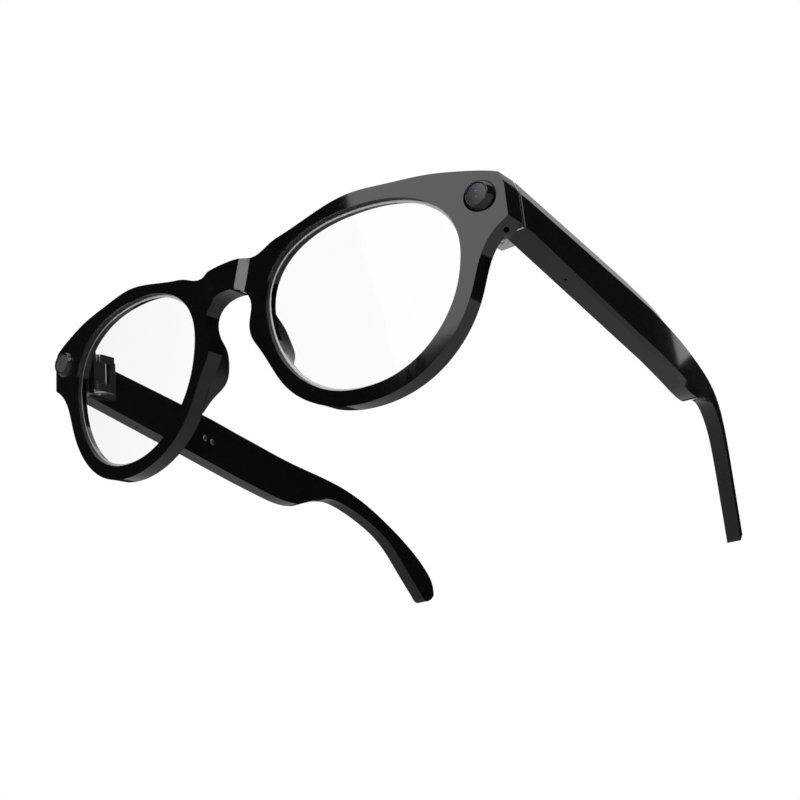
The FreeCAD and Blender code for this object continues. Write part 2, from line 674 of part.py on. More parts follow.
def side_prism(grow=0.0, first=None, last=None):
    """The temple's side profile as a solid across X, moved outward by grow and kept between two stations."""
    (start_top, top), (start_low, low) = temple_edges()
    tip_mid = top[-1] + Vector(0, -3.2, -2.3)
    edges = [Part.makeLine(start_top, top[0]), spline(top), Part.Arc(top[-1], tip_mid, low[-1]).toShape(),
             spline(low), Part.makeLine(low[0], start_low), Part.makeLine(start_low, start_top)]
    face = Part.Face(Part.Wire(Part.__sortEdges__(edges)))
    if grow:
        face = grown(face, grow)
    solid = face.extrude(Vector(2 * FAR, 0, 0))
    if first is not None:
        solid = solid.common(Part.makeBox(4 * FAR, last - first, 4 * FAR, Vector(-FAR, first, -2 * FAR)))
    return solid


def plan_points(depth):
    """The temple's outer face from above, moved inward by depth: its first point and the points after it."""
    end = place["temple_front"] + size["body_long"]
    # stations along Y after the straight part, with the share of the inward bend reached there
    steps = ((-16, 0.0), (0, 0.05), (19, 0.16), (37, 0.38), (55, 0.78), (68, 1.1))
    points = []
    for dy, share in steps:
        spread = size["temple_splay"] * (size["body_long"] + min(dy, 0))
        points.append(Vector(place["side"] + spread - depth - share * size["tip_inward"], end + dy, 0))
    return Vector(place["side"] - depth, place["temple_front"], 0), points


def plan_prism(near, far):
    """The temple seen from above, between two depths below its outer face, as a solid along Z."""
    start_a, a = plan_points(near)
    start_b, b = plan_points(far)
    edges = [Part.makeLine(start_a, a[0]), spline(a), Part.makeLine(a[-1], b[-1]), spline(b),
             Part.makeLine(b[0], start_b), Part.makeLine(start_b, start_a)]
    return prism(Part.Wire(Part.__sortEdges__(edges)), Vector(0, 0, -2 * FAR), Vector(0, 0, 4 * FAR))


def follow(start, points, y):
    """The point at y on the line from start to the first point and the curve after it, and its slopes."""
    line = [start] + spline(points).discretize(Number=60)
    for p, q in zip(line, line[1:]):
        if p.y <= y <= q.y:
            run = (q - p) / (q.y - p.y)
            return p + run * (y - p.y), run
    raise ValueError(f"nothing lies at y = {y}")


def inside(station, depth=0.0):
    """A place in the left temple with its Y along the temple, and the temple's half height there.

    The place is station behind the joint, depth below the outer face and on the temple's middle line.
    """
    y = place["temple_front"] + station
    (high, high_run), (low, low_run) = (follow(start, points, y) for start, points in temple_edges())
    outer, outer_run = follow(*plan_points(0), y)
    fall = -math.atan((high_run.z + low_run.z) / 2)
    lean = Rotation(Vector(0, 0, 1), -math.degrees(math.atan(outer_run.x)))
    turn = lean.multiply(Rotation(Vector(1, 0, 0), -math.degrees(fall)))
    spot = Vector(outer.x - depth, y, (high.z + low.z) / 2)
    return Placement(spot, turn), (high.z - low.z) / 2 * math.cos(fall)


def packed(name, station, depth, wide, long, tall, above=0.0):
    """A block packed in the left temple, centred at a station; above is its height over the middle line."""
    item = doc.addObject("Part::Box", name)
    bind(item, Length=wide, Width=long, Height=tall)
    doc.recompute([item])
    corner = Vector(-item.Length.Value / 2, -item.Width.Value / 2, above - item.Height.Value / 2)
    item.Placement = inside(station, depth)[0].multiply(Placement(corner, Rotation()))
    return item


def ear_core(grow):
    """The metal core of the left ear tip, with every side moved outward by grow."""
    first = place["temple_front"] + size["body_long"] + size["core_from_body"]
    core = side_prism(grow - size["core_cover"], first - grow, first + size["core_long"] + grow)
    half, middle = size["core_thick"] / 2 + grow, size["temple_thick"] / 2
    return core.common(plan_prism(middle - half, middle + half))


def build_temple_casing(screw_holes):
    """Each temple's outer shell, which runs on into the ear tip, its inner cover and the ear tip's core."""
    front, thick, gap = place["temple_front"], size["temple_thick"], size["fit_gap"]
    first, last = front + size["cavity_start"], front + size["cavity_end"]
    wall, rim, lid_depth = size["shell_wall"], size["cavity_rim"], thick - size["cover_thick"]
    body = side_prism().common(plan_prism(0, thick))
    hollow = side_prism(-rim, first, last).common(plan_prism(wall, lid_depth))
    seat = side_prism(-rim / 2, first - rim / 2, last + rim / 2).common(plan_prism(lid_depth, thick + 1))
    core, core_pocket = ear_core(0), ear_core(gap)
    shell_blank = feature("temple_blank", body.cut(hollow).cut(seat).cut(core_pocket).removeSplitter())
    outlet = packed("outlet_slot", size["speaker_at"], thick / 2, "sizes.outlet_wide", "sizes.outlet_long",
                    str(FAR / 2), above=FAR / 4)
    pinhole = packed("pinhole", size["mic_at"], thick / 2, "2 * sizes.pinhole_radius",
                     "2 * sizes.pinhole_radius", str(FAR / 2), above=-FAR / 4)
    shell = subpart("temple_shell_left", cut("temple_shell_left", shell_blank, outlet, pinhole, *screw_holes))
    mirror("temple_shell_right", shell)
    core_node = subpart("tip_core_left", group("tip_core_left", feature("core_blank", core)))
    mirror("tip_core_right", core_node)
    lid = side_prism(-rim / 2 - gap, first - rim / 2 + gap, last + rim / 2 - gap)
    lid = feature("cover_blank", lid.common(plan_prism(lid_depth + gap, thick)))
    subpart("temple_cover_left", group("temple_cover_left", lid))
    return reflect("cover_blank_right", lid)


def build_temple_insides(cover_right):
    """What is packed in each temple, and the charging contacts in the right temple's cover."""
    wall, thick = size["shell_wall"], size["temple_thick"]
    battery = packed("battery_cell", size["battery_at"], size["battery_depth"], "sizes.battery_thick",
                     "sizes.battery_long", "sizes.battery_tall")
    rounded = doc.addObject("Part::Fillet", "battery_rounded")
    rounded.Base = battery
    doc.recompute()
    long_edges = [i + 1 for i, e in enumerate(battery.Shape.Edges)
                  if abs(e.Length - size["battery_long"]) < size["fit_gap"] / 10]
    rounded.Edges = [(i, size["battery_thick"] / 3, size["battery_thick"] / 3) for i in long_edges]
    mirror("battery_right", subpart("battery_left", group("battery_left", rounded)))

    board_depth = thick - size["cover_thick"] - size["contact_reach"] - size["board_thick"] / 2
    chip_depth = board_depth - size["board_thick"] / 2 - size["processor_thick"] / 2
    board = packed("board_plate", size["board_at"], board_depth, "sizes.board_thick", "sizes.board_long",
                   "sizes.board_tall")
    chips = [packed(f"board_chip_{i}", size["board_at"] + shift, chip_depth, "sizes.processor_thick",
                    f"{share} * sizes.processor_side", f"{share} * sizes.processor_side")
             for i, (shift, share) in enumerate(((-11, 1.0), (-3, 0.6), (4, 0.8), (12, 0.5)))]
    mirror("circuit_board_right", subpart("circuit_board_left", fuse("circuit_board_left", board, *chips)))

    speaker = packed("speaker_can", size["speaker_at"], size["battery_depth"], "sizes.speaker_thick",
                     "sizes.speaker_long", "sizes.speaker_tall")
    mirror("speaker_right", subpart("speaker_left", group("speaker_left", speaker)))
    mesh = packed("outlet_mesh", size["speaker_at"], thick / 2, "sizes.outlet_wide - 2 * sizes.fit_gap",
                  "sizes.outlet_long - 2 * sizes.fit_gap",
                  "sizes.mesh_thick", above=inside(size["speaker_at"])[1] - size["cavity_rim"] / 2)
    mirror("speaker_mesh_right", subpart("speaker_mesh_left", group("speaker_mesh_left", mesh)))

    floor = size["cavity_rim"] - inside(size["mic_at"])[1]
    can = packed("temple_mic_can", size["mic_at"], thick / 2, "sizes.mic_wide - sizes.mesh_thick",
                 "sizes.mic_long", "sizes.temple_mic_tall",
                 above=floor + size["temple_mic_tall"] / 2 + size["part_gap"])
    mirror("temple_microphone_right", subpart("temple_microphone_left", group("temple_microphone_left", can)))

    touch = packed("touch_film", size["touch_at"], wall + size["touch_thick"] / 2 + size["fit_gap"],
                   "sizes.touch_thick", "sizes.touch_long", "sizes.touch_tall")
    subpart("touch_strip_left", group("touch_strip_left", touch))

    pins, holes = [], []
    for i in range(2):
        spot = inside(size["contact_from_joint"] + i * size["contact_spacing"], thick)[0]
        turned = spot.multiply(Placement(Vector(), Rotation(Vector(0, 1, 0), 90)))
        for name, made, radius in (("pin", pins, "sizes.contact_radius"),
                                   ("hole", holes, "sizes.contact_radius + sizes.fit_gap")):
            item = doc.addObject("Part::Cylinder", f"contact_{name}_{i}")
            bind(item, Radius=radius, Height="sizes.cover_thick + sizes.contact_reach - sizes.fit_gap")
            item.Placement = turned
            made.append(reflect(item.Name + "_right", item))
    subpart("charging_contacts", group("charging_contacts", *pins))
    subpart("temple_cover_right", cut("temple_cover_right", cover_right, *holes))


# ---------------------------------------------------------------- stance and export

def stance():
    """The placement that rests the rims and the ear tips on z = 0, with the origin at the box's middle."""
    front = subparts["front_frame"].Shape.copy()
    temple = subparts["temple_shell_left"].Shape.copy()
    tilt = 0.0
    for _ in range(8):
        turn = Placement(Vector(), Rotation(Vector(1, 0, 0), tilt))
        low = []
        for shape in (front, temple):
            shape.Placement = turn
            low.append(shape.optimalBoundingBox(False).ZMin)
        tilt += math.degrees(math.atan2(low[0] - low[1], temple.BoundBox.YMax))
    whole = Part.makeCompound([item.Shape for item in subparts.values()])
    whole.Placement = Placement(Vector(), Rotation(Vector(1, 0, 0), tilt))
    bounds = whole.optimalBoundingBox(False)
    shift = Vector(0, -(bounds.YMin + bounds.YMax) / 2, -bounds.ZMin)
    return Placement(shift, Rotation(Vector(1, 0, 0), tilt))


def check(item):
    """Stops the build if an object failed."""
    if "Invalid" in item.State or "Error" in item.State:
        raise RuntimeError(f"{item.Label} did not recompute: {item.State}")


def export():
    """Checks every object and writes each sub-part."""
    for item in doc.Objects:
        check(item)
    os.makedirs("parts", exist_ok=True)
    for node, item in subparts.items():
        shape = item.Shape
        if shape.isNull() or not shape.isValid() or not shape.Solids:
            raise RuntimeError(f"{node} has no valid solid")
        shape.exportStep(f"parts/{node}.step")


plate_holes = build_plate_screws()
build_front(build_front_blank(), plate_holes)
build_lenses()
build_nose_pads()
build_barrel()
build_optics()
build_front_microphone()
leaf_holes = build_hinges(plate_holes)
build_temple_insides(build_temple_casing(leaf_holes))
doc.recompute()
placement = stance()
for item in subparts.values():
    if item.TypeId != "Part::Mirroring":
        item.Placement = placement.multiply(item.Placement)
doc.recompute()
export()
print(f"{len(subparts)} sub-parts, tilt {placement.Rotation.Angle:.5f} rad about {placement.Rotation.Axis},",
      f"shift {placement.Base}")
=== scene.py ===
"""The finished look of a pair of camera glasses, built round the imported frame.

Shapes are drawn in the glasses' own frame, in millimetres: X runs to the wearer's left, Y runs back
along the temples, Z runs up, and the origin is midway between the lenses. Stance turns that frame
into the row frame, in metres.
"""

import json
import logging
import math
from collections.abc import Callable, Iterable
from dataclasses import dataclass
from enum import Enum

import bmesh
import bpy
import numpy as np
from bmesh.types import BMesh
from mathutils import Matrix, Vector


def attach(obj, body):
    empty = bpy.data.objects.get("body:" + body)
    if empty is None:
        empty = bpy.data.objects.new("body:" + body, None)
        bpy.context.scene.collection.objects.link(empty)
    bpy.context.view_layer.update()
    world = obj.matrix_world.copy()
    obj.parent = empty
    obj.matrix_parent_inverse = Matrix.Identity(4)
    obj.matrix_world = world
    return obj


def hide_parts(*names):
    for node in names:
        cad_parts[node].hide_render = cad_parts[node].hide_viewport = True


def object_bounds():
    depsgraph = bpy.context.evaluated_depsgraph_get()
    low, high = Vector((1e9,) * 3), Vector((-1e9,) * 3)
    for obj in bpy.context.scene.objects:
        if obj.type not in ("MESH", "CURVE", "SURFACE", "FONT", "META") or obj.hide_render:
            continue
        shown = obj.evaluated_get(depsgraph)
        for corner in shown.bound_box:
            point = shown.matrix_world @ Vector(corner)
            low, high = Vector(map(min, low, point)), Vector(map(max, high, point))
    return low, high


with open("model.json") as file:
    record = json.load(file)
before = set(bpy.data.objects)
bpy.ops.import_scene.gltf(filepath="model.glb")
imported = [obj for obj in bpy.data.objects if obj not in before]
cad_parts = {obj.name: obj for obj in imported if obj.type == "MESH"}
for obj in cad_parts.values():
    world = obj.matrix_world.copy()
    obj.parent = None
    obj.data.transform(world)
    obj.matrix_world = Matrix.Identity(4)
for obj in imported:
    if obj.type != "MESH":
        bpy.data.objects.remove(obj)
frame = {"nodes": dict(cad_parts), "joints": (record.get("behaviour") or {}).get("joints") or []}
cad_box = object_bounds()

LOG = logging.getLogger("glasses")
MM = 0.001
CREASE = math.radians(32)  # edges sharper than this stay crisp
SNAP = 0.12  # how near a cut a corner counts as lying on it, in millimetres

Flat = tuple[float, float]
Loop = list[Flat]


class Side(Enum):
    """Which side of the wearer a piece is on, with the sign of its X."""

    LEFT = 1
    RIGHT = -1

    @property
    def word(self) -> str:
        """The side's name in node names."""
        return self.name.lower()


class Slot(Enum):
    """The record's material slots."""

    SHELL = "gloss_black"
    BARREL = "barrel_black"
    DARK_GLASS = "dark_glass"
    DIFFUSER = "smoked_cover"
    LENS = "clear_lens"
    STACK = "stack_black"
    BOARD = "board_green"
    FLEX = "flex_amber"
    CAN = "mic_steel"
    MESH = "fine_mesh"
    HINGE = "hinge_steel"
    SCREW = "screw_steel"
    CORE = "core_wire"
    POUCH = "battery_foil"
    SPEAKER = "speaker_black"
    TOUCH = "touch_film"
    CONTACT = "contact_nickel"


# ---------------------------------------------------------------- stance


@dataclass(frozen=True)
class Stance:
    """How the glasses sit in the row frame: a tilt about X and a shift, read from the left hinge."""

    pivot: tuple[float, float, float] = (64.35, 17.5, 11.95)

    def matrix(self) -> Matrix:
        """The move from the glasses' own frame, in millimetres, to the row frame, in metres."""
        joint = next(j for j in frame["joints"] if j["name"] == "hinge_left")
        axis = Vector(joint["axis"])
        turn = Matrix.Rotation(math.atan2(-axis.y, axis.z), 4, "X")
        shift = Vector(joint["pos_m"]) - turn @ (Vector(self.pivot) * MM)
        return Matrix.Translation(shift) @ turn @ Matrix.Scale(MM, 4)


STANCE = Stance().matrix()


# ---------------------------------------------------------------- materials


def linear(code: str) -> tuple[float, float, float, float]:
    """Turns an sRGB hex code into a linear colour.

    Args:
        code: six hex digits, such as "3c3c3c".

    Returns:
        Red, green, blue and an alpha of 1.
    """
    parts = [int(code[i:i + 2], 16) / 255 for i in (0, 2, 4)]
    red, green, blue = (c / 12.92 if c <= 0.04045 else ((c + 0.055) / 1.055) ** 2.4 for c in parts)
    return red, green, blue, 1.0


def add(tree: bpy.types.NodeTree, kind: str, inputs: dict | None = None, **settings) -> bpy.types.Node:
    """Adds a node with its settings, values and links.

    Args:
        tree: the node tree.
        kind: the node's type.
        inputs: a value, or a socket to link from, for each input's name or number.
        **settings: the node's own properties.

    Returns:
        The new node.
    """
    made = tree.nodes.new(kind)
    for name, value in settings.items():
        setattr(made, name, value)
    for name, value in (inputs or {}).items():
        if isinstance(value, bpy.types.NodeSocket):
            tree.links.new(value, made.inputs[name])
        else:
            made.inputs[name].default_value = value
    return made


class Grain(Enum):
    """How a surface was made, which sets its pattern."""

    MOULDED = "polished mould with a faint ripple"
    BRUSHED = "fine parallel scratches"
    SPARKED = "spark-eroded mould texture"
    TRACED = "tracks under solder mask"
    WOVEN = "woven wire"
    CRINKLED = "soft foil creases"
    OPTICAL = "polished glass"


@dataclass(frozen=True)
class Finish:
    """One surface finish: what it is made of, how it was made, and what that gives the eye."""

    name: str
    slot: Slot
    colour: str
    grain: Grain
    roughness: float
    spread: float = 0.03  # how far the roughness wanders, both ways
    second: str = ""  # the colour that the pattern turns towards
    grain_mm: float = 1.0  # the pattern's spacing
    relief_mm: float = 0.0  # the bump's height
    metallic: float = 0.0
    ior: float = 1.5
    transmission: float = 0.0
    coat: float = 0.0
    stretch: tuple[float, float, float] = (1.0, 1.0, 1.0)  # how much finer the pattern is along X, Y, Z

    def pattern(self, tree: bpy.types.NodeTree) -> bpy.types.NodeSocket:
        """Lays out the surface pattern.

        Args:
            tree: the material's node tree.

        Returns:
            A socket that goes from 0 to 1 over the pattern.
        """
        place = add(tree, "ShaderNodeTexCoord").outputs["Object"]
        per_metre = 1 / (self.grain_mm * MM)
        scale = tuple(per_metre * s for s in self.stretch)
        place = add(tree, "ShaderNodeMapping", {"Vector": place, "Scale": scale}).outputs["Vector"]
        if self.grain is Grain.TRACED:
            made = add(tree, "ShaderNodeTexBrick",
                       {"Vector": place, "Scale": 1.0, "Mortar Size": 0.06, "Mortar Smooth": 0.2})
            return made.outputs["Fac"]
        if self.grain is Grain.WOVEN:
            waves = [add(tree, "ShaderNodeTexWave", {"Vector": place, "Scale": 1.0}, bands_direction=way)
                     for way in ("X", "Y")]
            both = add(tree, "ShaderNodeMath", {0: waves[0].outputs["Fac"], 1: waves[1].outputs["Fac"]},
                       operation="MAXIMUM")
            return both.outputs["Value"]
        if self.grain is Grain.CRINKLED:
            made = add(tree, "ShaderNodeTexVoronoi", {"Vector": place, "Scale": 1.0, "Smoothness": 1.0},
                       feature="SMOOTH_F1")
            return made.outputs["Distance"]
        detail = 0.0 if self.grain in (Grain.MOULDED, Grain.OPTICAL) else 3.0
        made = add(tree, "ShaderNodeTexNoise", {"Vector": place, "Scale": 1.0, "Detail": detail})
        return made.outputs["Fac"]

    def material(self) -> bpy.types.Material:
        """Builds the finish as a material.

        Returns:
            The material, named after the finish.
        """
        made = bpy.data.materials.new(self.name)
        made.use_nodes = True
        tree = made.node_tree
        tree.nodes.clear()
        wander = self.pattern(tree)
        rough = add(tree, "ShaderNodeMapRange",
                    {"Value": wander, "To Min": max(self.roughness - self.spread, 0.0),
                     "To Max": self.roughness + self.spread})
        inputs = {
            "Roughness": rough.outputs["Result"],
            "Metallic": self.metallic,
            "IOR": self.ior,
            "Transmission Weight": self.transmission,
            "Coat Weight": self.coat,
            "Coat Roughness": 0.03,
        }
        if self.second:
            blend = add(tree, "ShaderNodeMix", {0: wander, 6: linear(self.colour), 7: linear(self.second)},
                        data_type="RGBA")
            inputs["Base Color"] = blend.outputs[2]
        else:
            inputs["Base Color"] = linear(self.colour)
        if self.relief_mm:
            bump = add(tree, "ShaderNodeBump",
                       {"Height": wander, "Distance": self.relief_mm * MM, "Strength": 1.0})
            inputs["Normal"] = bump.outputs["Normal"]
        shader = add(tree, "ShaderNodeBsdfPrincipled", inputs)
        add(tree, "ShaderNodeOutputMaterial", {"Surface": shader.outputs["BSDF"]})
        return made


# Injection-moulded nylon, polished: deep black with mirror highlights that waver a little.
GLOSS_BLACK = Finish("polished_black_nylon", Slot.SHELL, "060607", Grain.MOULDED, 0.07, spread=0.015,
                     second="080809", grain_mm=9.0, relief_mm=0.0009, ior=1.53)
# The same nylon where the mould was left satin: the hidden faces of the nose pads and covers.
SATIN_BLACK = Finish("satin_black_nylon", Slot.SHELL, "0c0c0d", Grain.SPARKED, 0.24, spread=0.05,
                     second="101011", grain_mm=0.25, relief_mm=0.004, ior=1.53)
# Glossy black polycarbonate, turned smoother than the front: crisp rims of light round the barrel.
BARREL_BLACK = Finish("barrel_black_polycarbonate", Slot.BARREL, "090909", Grain.MOULDED, 0.1,
                      second="0c0c0c", grain_mm=1.5, relief_mm=0.0006, ior=1.58)
# Tinted cover glass over the camera: a flat charcoal disc with a soft shine.
COVER_GLASS = Finish("tinted_cover_glass", Slot.DARK_GLASS, "303033", Grain.OPTICAL, 0.4, spread=0.02,
                     second="333336", grain_mm=4.0, ior=1.52)
# Painted reflection: faint blue-violet points, pale coated dots on the camera cover that stand for the lamps'
# reflections in the lens elements beneath.
PAINTED_GLINT = Finish("painted_glint_coat", Slot.DARK_GLASS, "62627e", Grain.OPTICAL, 0.15, spread=0.01,
                   grain_mm=1.0, ior=1.7, coat=1.0)
# Smoked acrylic diffuser over the lamp: an even grey, satin like frosted glass.
DIFFUSER = Finish("smoked_acrylic_diffuser", Slot.DIFFUSER, "3d3d3e", Grain.SPARKED, 0.3, spread=0.04,
                  second="414142", grain_mm=0.3, relief_mm=0.002, ior=1.49)
# Coated polycarbonate lens, clear: the low IOR stands in for the coat's weak reflection.
CLEAR_LENS = Finish("clear_polycarbonate", Slot.LENS, "fdfdfd", Grain.OPTICAL, 0.0, spread=0.0,
                    grain_mm=10.0, ior=1.22, transmission=1.0)
# The lens's ground edge: a frosted bevel that catches light as a silver line.
GROUND_EDGE = Finish("ground_lens_edge", Slot.LENS, "fafafa", Grain.BRUSHED, 0.25, spread=0.05,
                     second="eeefef", grain_mm=0.8, relief_mm=0.0005, ior=1.45, transmission=0.1)
# Stainless steel, machined and fine-brushed: light grey with soft streaks.
HINGE_STEEL = Finish("brushed_stainless_steel", Slot.HINGE, "cfd0d2", Grain.BRUSHED, 0.16, spread=0.05,
                     second="bfc0c3", grain_mm=0.7, relief_mm=0.0002, metallic=1.0, stretch=(1, 6, 0.4))
# Nickel-plated steel: brighter and smoother than the hinge, with faint turning marks.
SCREW_STEEL = Finish("nickel_plated_steel", Slot.SCREW, "d4d2cd", Grain.BRUSHED, 0.12, spread=0.03,
                     second="c2c0bb", grain_mm=0.5, relief_mm=0.0002, metallic=1.0)
# Nickel-plated brass contacts, polished: nearly white, warm in the shadows.
CONTACT_NICKEL = Finish("polished_nickel_plate", Slot.CONTACT, "e9e6e0", Grain.MOULDED, 0.14, spread=0.04,
                        second="dcd9d2", grain_mm=0.6, relief_mm=0.0004, metallic=1.0)
# Nickel silver strip, rolled: a yellowish grey with long rolling marks.
CORE_WIRE = Finish("rolled_nickel_silver", Slot.CORE, "b5b1a6", Grain.BRUSHED, 0.32, spread=0.08,
                   second="a39f95", grain_mm=0.6, relief_mm=0.001, metallic=1.0, stretch=(4, 0.3, 4))
# Black liquid crystal polymer of the lens housing: matt, with a fine spark texture.
STACK_BLACK = Finish("matt_lens_housing", Slot.STACK, "141416", Grain.SPARKED, 0.55, spread=0.08,
                     second="1b1b1d", grain_mm=0.2, relief_mm=0.006, ior=1.6)
# Glass-epoxy board under green solder mask: darker tracks on a satin green.
BOARD_GREEN = Finish("green_solder_mask", Slot.BOARD, "0f4a2c", Grain.TRACED, 0.38, spread=0.06,
                     second="1d6b41", grain_mm=0.7, relief_mm=0.02, ior=1.55)
# Polyimide film over copper: amber, with the tracks showing darker.
FLEX_AMBER = Finish("amber_polyimide", Slot.FLEX, "a8642a", Grain.TRACED, 0.3, spread=0.05,
                    second="c98a3d", grain_mm=0.5, relief_mm=0.01, ior=1.7)
# Drawn nickel-silver microphone can: dull silver with drawing marks.
CAN_STEEL = Finish("drawn_metal_can", Slot.CAN, "b9bbbe", Grain.BRUSHED, 0.34, spread=0.07,
                   second="a4a6aa", grain_mm=0.3, relief_mm=0.001, metallic=1.0, stretch=(1, 1, 5))
# Woven acoustic mesh in black nickel: fine wires with dark gaps, 0.12 mm apart.
FINE_MESH = Finish("woven_acoustic_mesh", Slot.MESH, "141516", Grain.WOVEN, 0.4, spread=0.05,
                   second="606267", grain_mm=0.12, relief_mm=0.03, metallic=1.0)
# Aluminium-laminate pouch of the cell: pale silver with soft creases.
POUCH_FOIL = Finish("aluminium_pouch", Slot.POUCH, "c6cacf", Grain.CRINKLED, 0.3, spread=0.08,
                    second="b2b6bc", grain_mm=2.5, relief_mm=0.05, metallic=1.0)
# Glass-filled nylon speaker box: satin black, slightly cloudy.
SPEAKER_BLACK = Finish("glass_filled_nylon", Slot.SPEAKER, "151517", Grain.SPARKED, 0.42, spread=0.07,
                       second="1f1f22", grain_mm=0.35, relief_mm=0.008, ior=1.53)
# Printed sensor film: amber base with paler electrode stripes.
TOUCH_FILM = Finish("printed_sensor_film", Slot.TOUCH, "8f5c27", Grain.TRACED, 0.35, spread=0.05,
                    second="b98a52", grain_mm=1.2, relief_mm=0.006, ior=1.6)


class Wardrobe:
    """The materials that have been built, one for each finish."""

    def __init__(self) -> None:
        """Starts with nothing built."""
        self.made: dict[str, bpy.types.Material] = {}

    def get(self, finish: Finish) -> bpy.types.Material:
        """The finish's material, built the first time it is asked for."""
        if finish.name not in self.made:
            self.made[finish.name] = finish.material()
        return self.made[finish.name]

    def dress_node(self, node: str, finish: Finish) -> None:
        """Gives a CAD node this finish in every slot it has."""
        mesh = frame["nodes"][node].data
        for i in range(max(len(mesh.materials), 1)):
            if i < len(mesh.materials):
                mesh.materials[i] = self.get(finish)
            else:
                mesh.materials.append(self.get(finish))


WARDROBE = Wardrobe()


# ---------------------------------------------------------------- mesh making


def through(points: list[Flat], spacing: float) -> Loop:
    """Points along a smooth natural spline through the given ones.

    Args:
        points: the points that shape the line.
        spacing: about how far apart the new points are, in millimetres.

    Returns:
        The new points, from the first given point to the last.
    """
    xy = np.array(points, float)
    knots = np.concatenate([[0.0], np.cumsum(np.linalg.norm(np.diff(xy, axis=0), axis=1))])
    h, count = np.diff(knots), len(xy)
    matrix, right = np.eye(count), np.zeros((count, 2))
    for i in range(1, count - 1):
        matrix[i, i - 1:i + 2] = h[i - 1], 2 * (h[i - 1] + h[i]), h[i]
        right[i] = 6 * ((xy[i + 1] - xy[i]) / h[i] - (xy[i] - xy[i - 1]) / h[i - 1])
    bend = np.linalg.solve(matrix, right)
    line = []
    for s in np.linspace(0, knots[-1], max(2, round(knots[-1] / spacing) + 1)):
        i = min(int(np.searchsorted(knots, s, "right")) - 1, count - 2)
        a, b = (knots[i + 1] - s) / h[i], (s - knots[i]) / h[i]
        curve = ((a ** 3 - a) * bend[i] + (b ** 3 - b) * bend[i + 1]) * h[i] ** 2 / 6
        line.append(tuple(float(c) for c in a * xy[i] + b * xy[i + 1] + curve))
    return line


def rounded_corner(before: Flat, corner: Flat, after: Flat, radius: float, steps: int = 5) -> Loop:
    """An arc in place of a square corner.

    Args:
        before: a point on the line into the corner.
        corner: the corner.
        after: a point on the line out of it.
        radius: the arc's radius.
        steps: how many pieces the arc has.

    Returns:
        The points of the arc.
    """
    middle = Vector(corner)
    start = middle + (Vector(before) - middle).normalized() * radius
    end = middle + (Vector(after) - middle).normalized() * radius
    arc = []
    for i in range(steps + 1):
        share = i / steps
        spot = start * (1 - share) ** 2 + middle * 2 * share * (1 - share) + end * share ** 2
        arc.append((spot.x, spot.y))
    return arc


def thinned(loop: Loop, gap: float = 0.3) -> Loop:
    """The loop without points that nearly coincide with the one before them."""
    kept: Loop = []
    for point in loop:
        if not kept or math.dist(point, kept[-1]) > gap:
            kept.append(point)
    while math.dist(kept[0], kept[-1]) < gap:
        kept.pop()
    return kept


Place = Callable[[float, float, float], Vector]


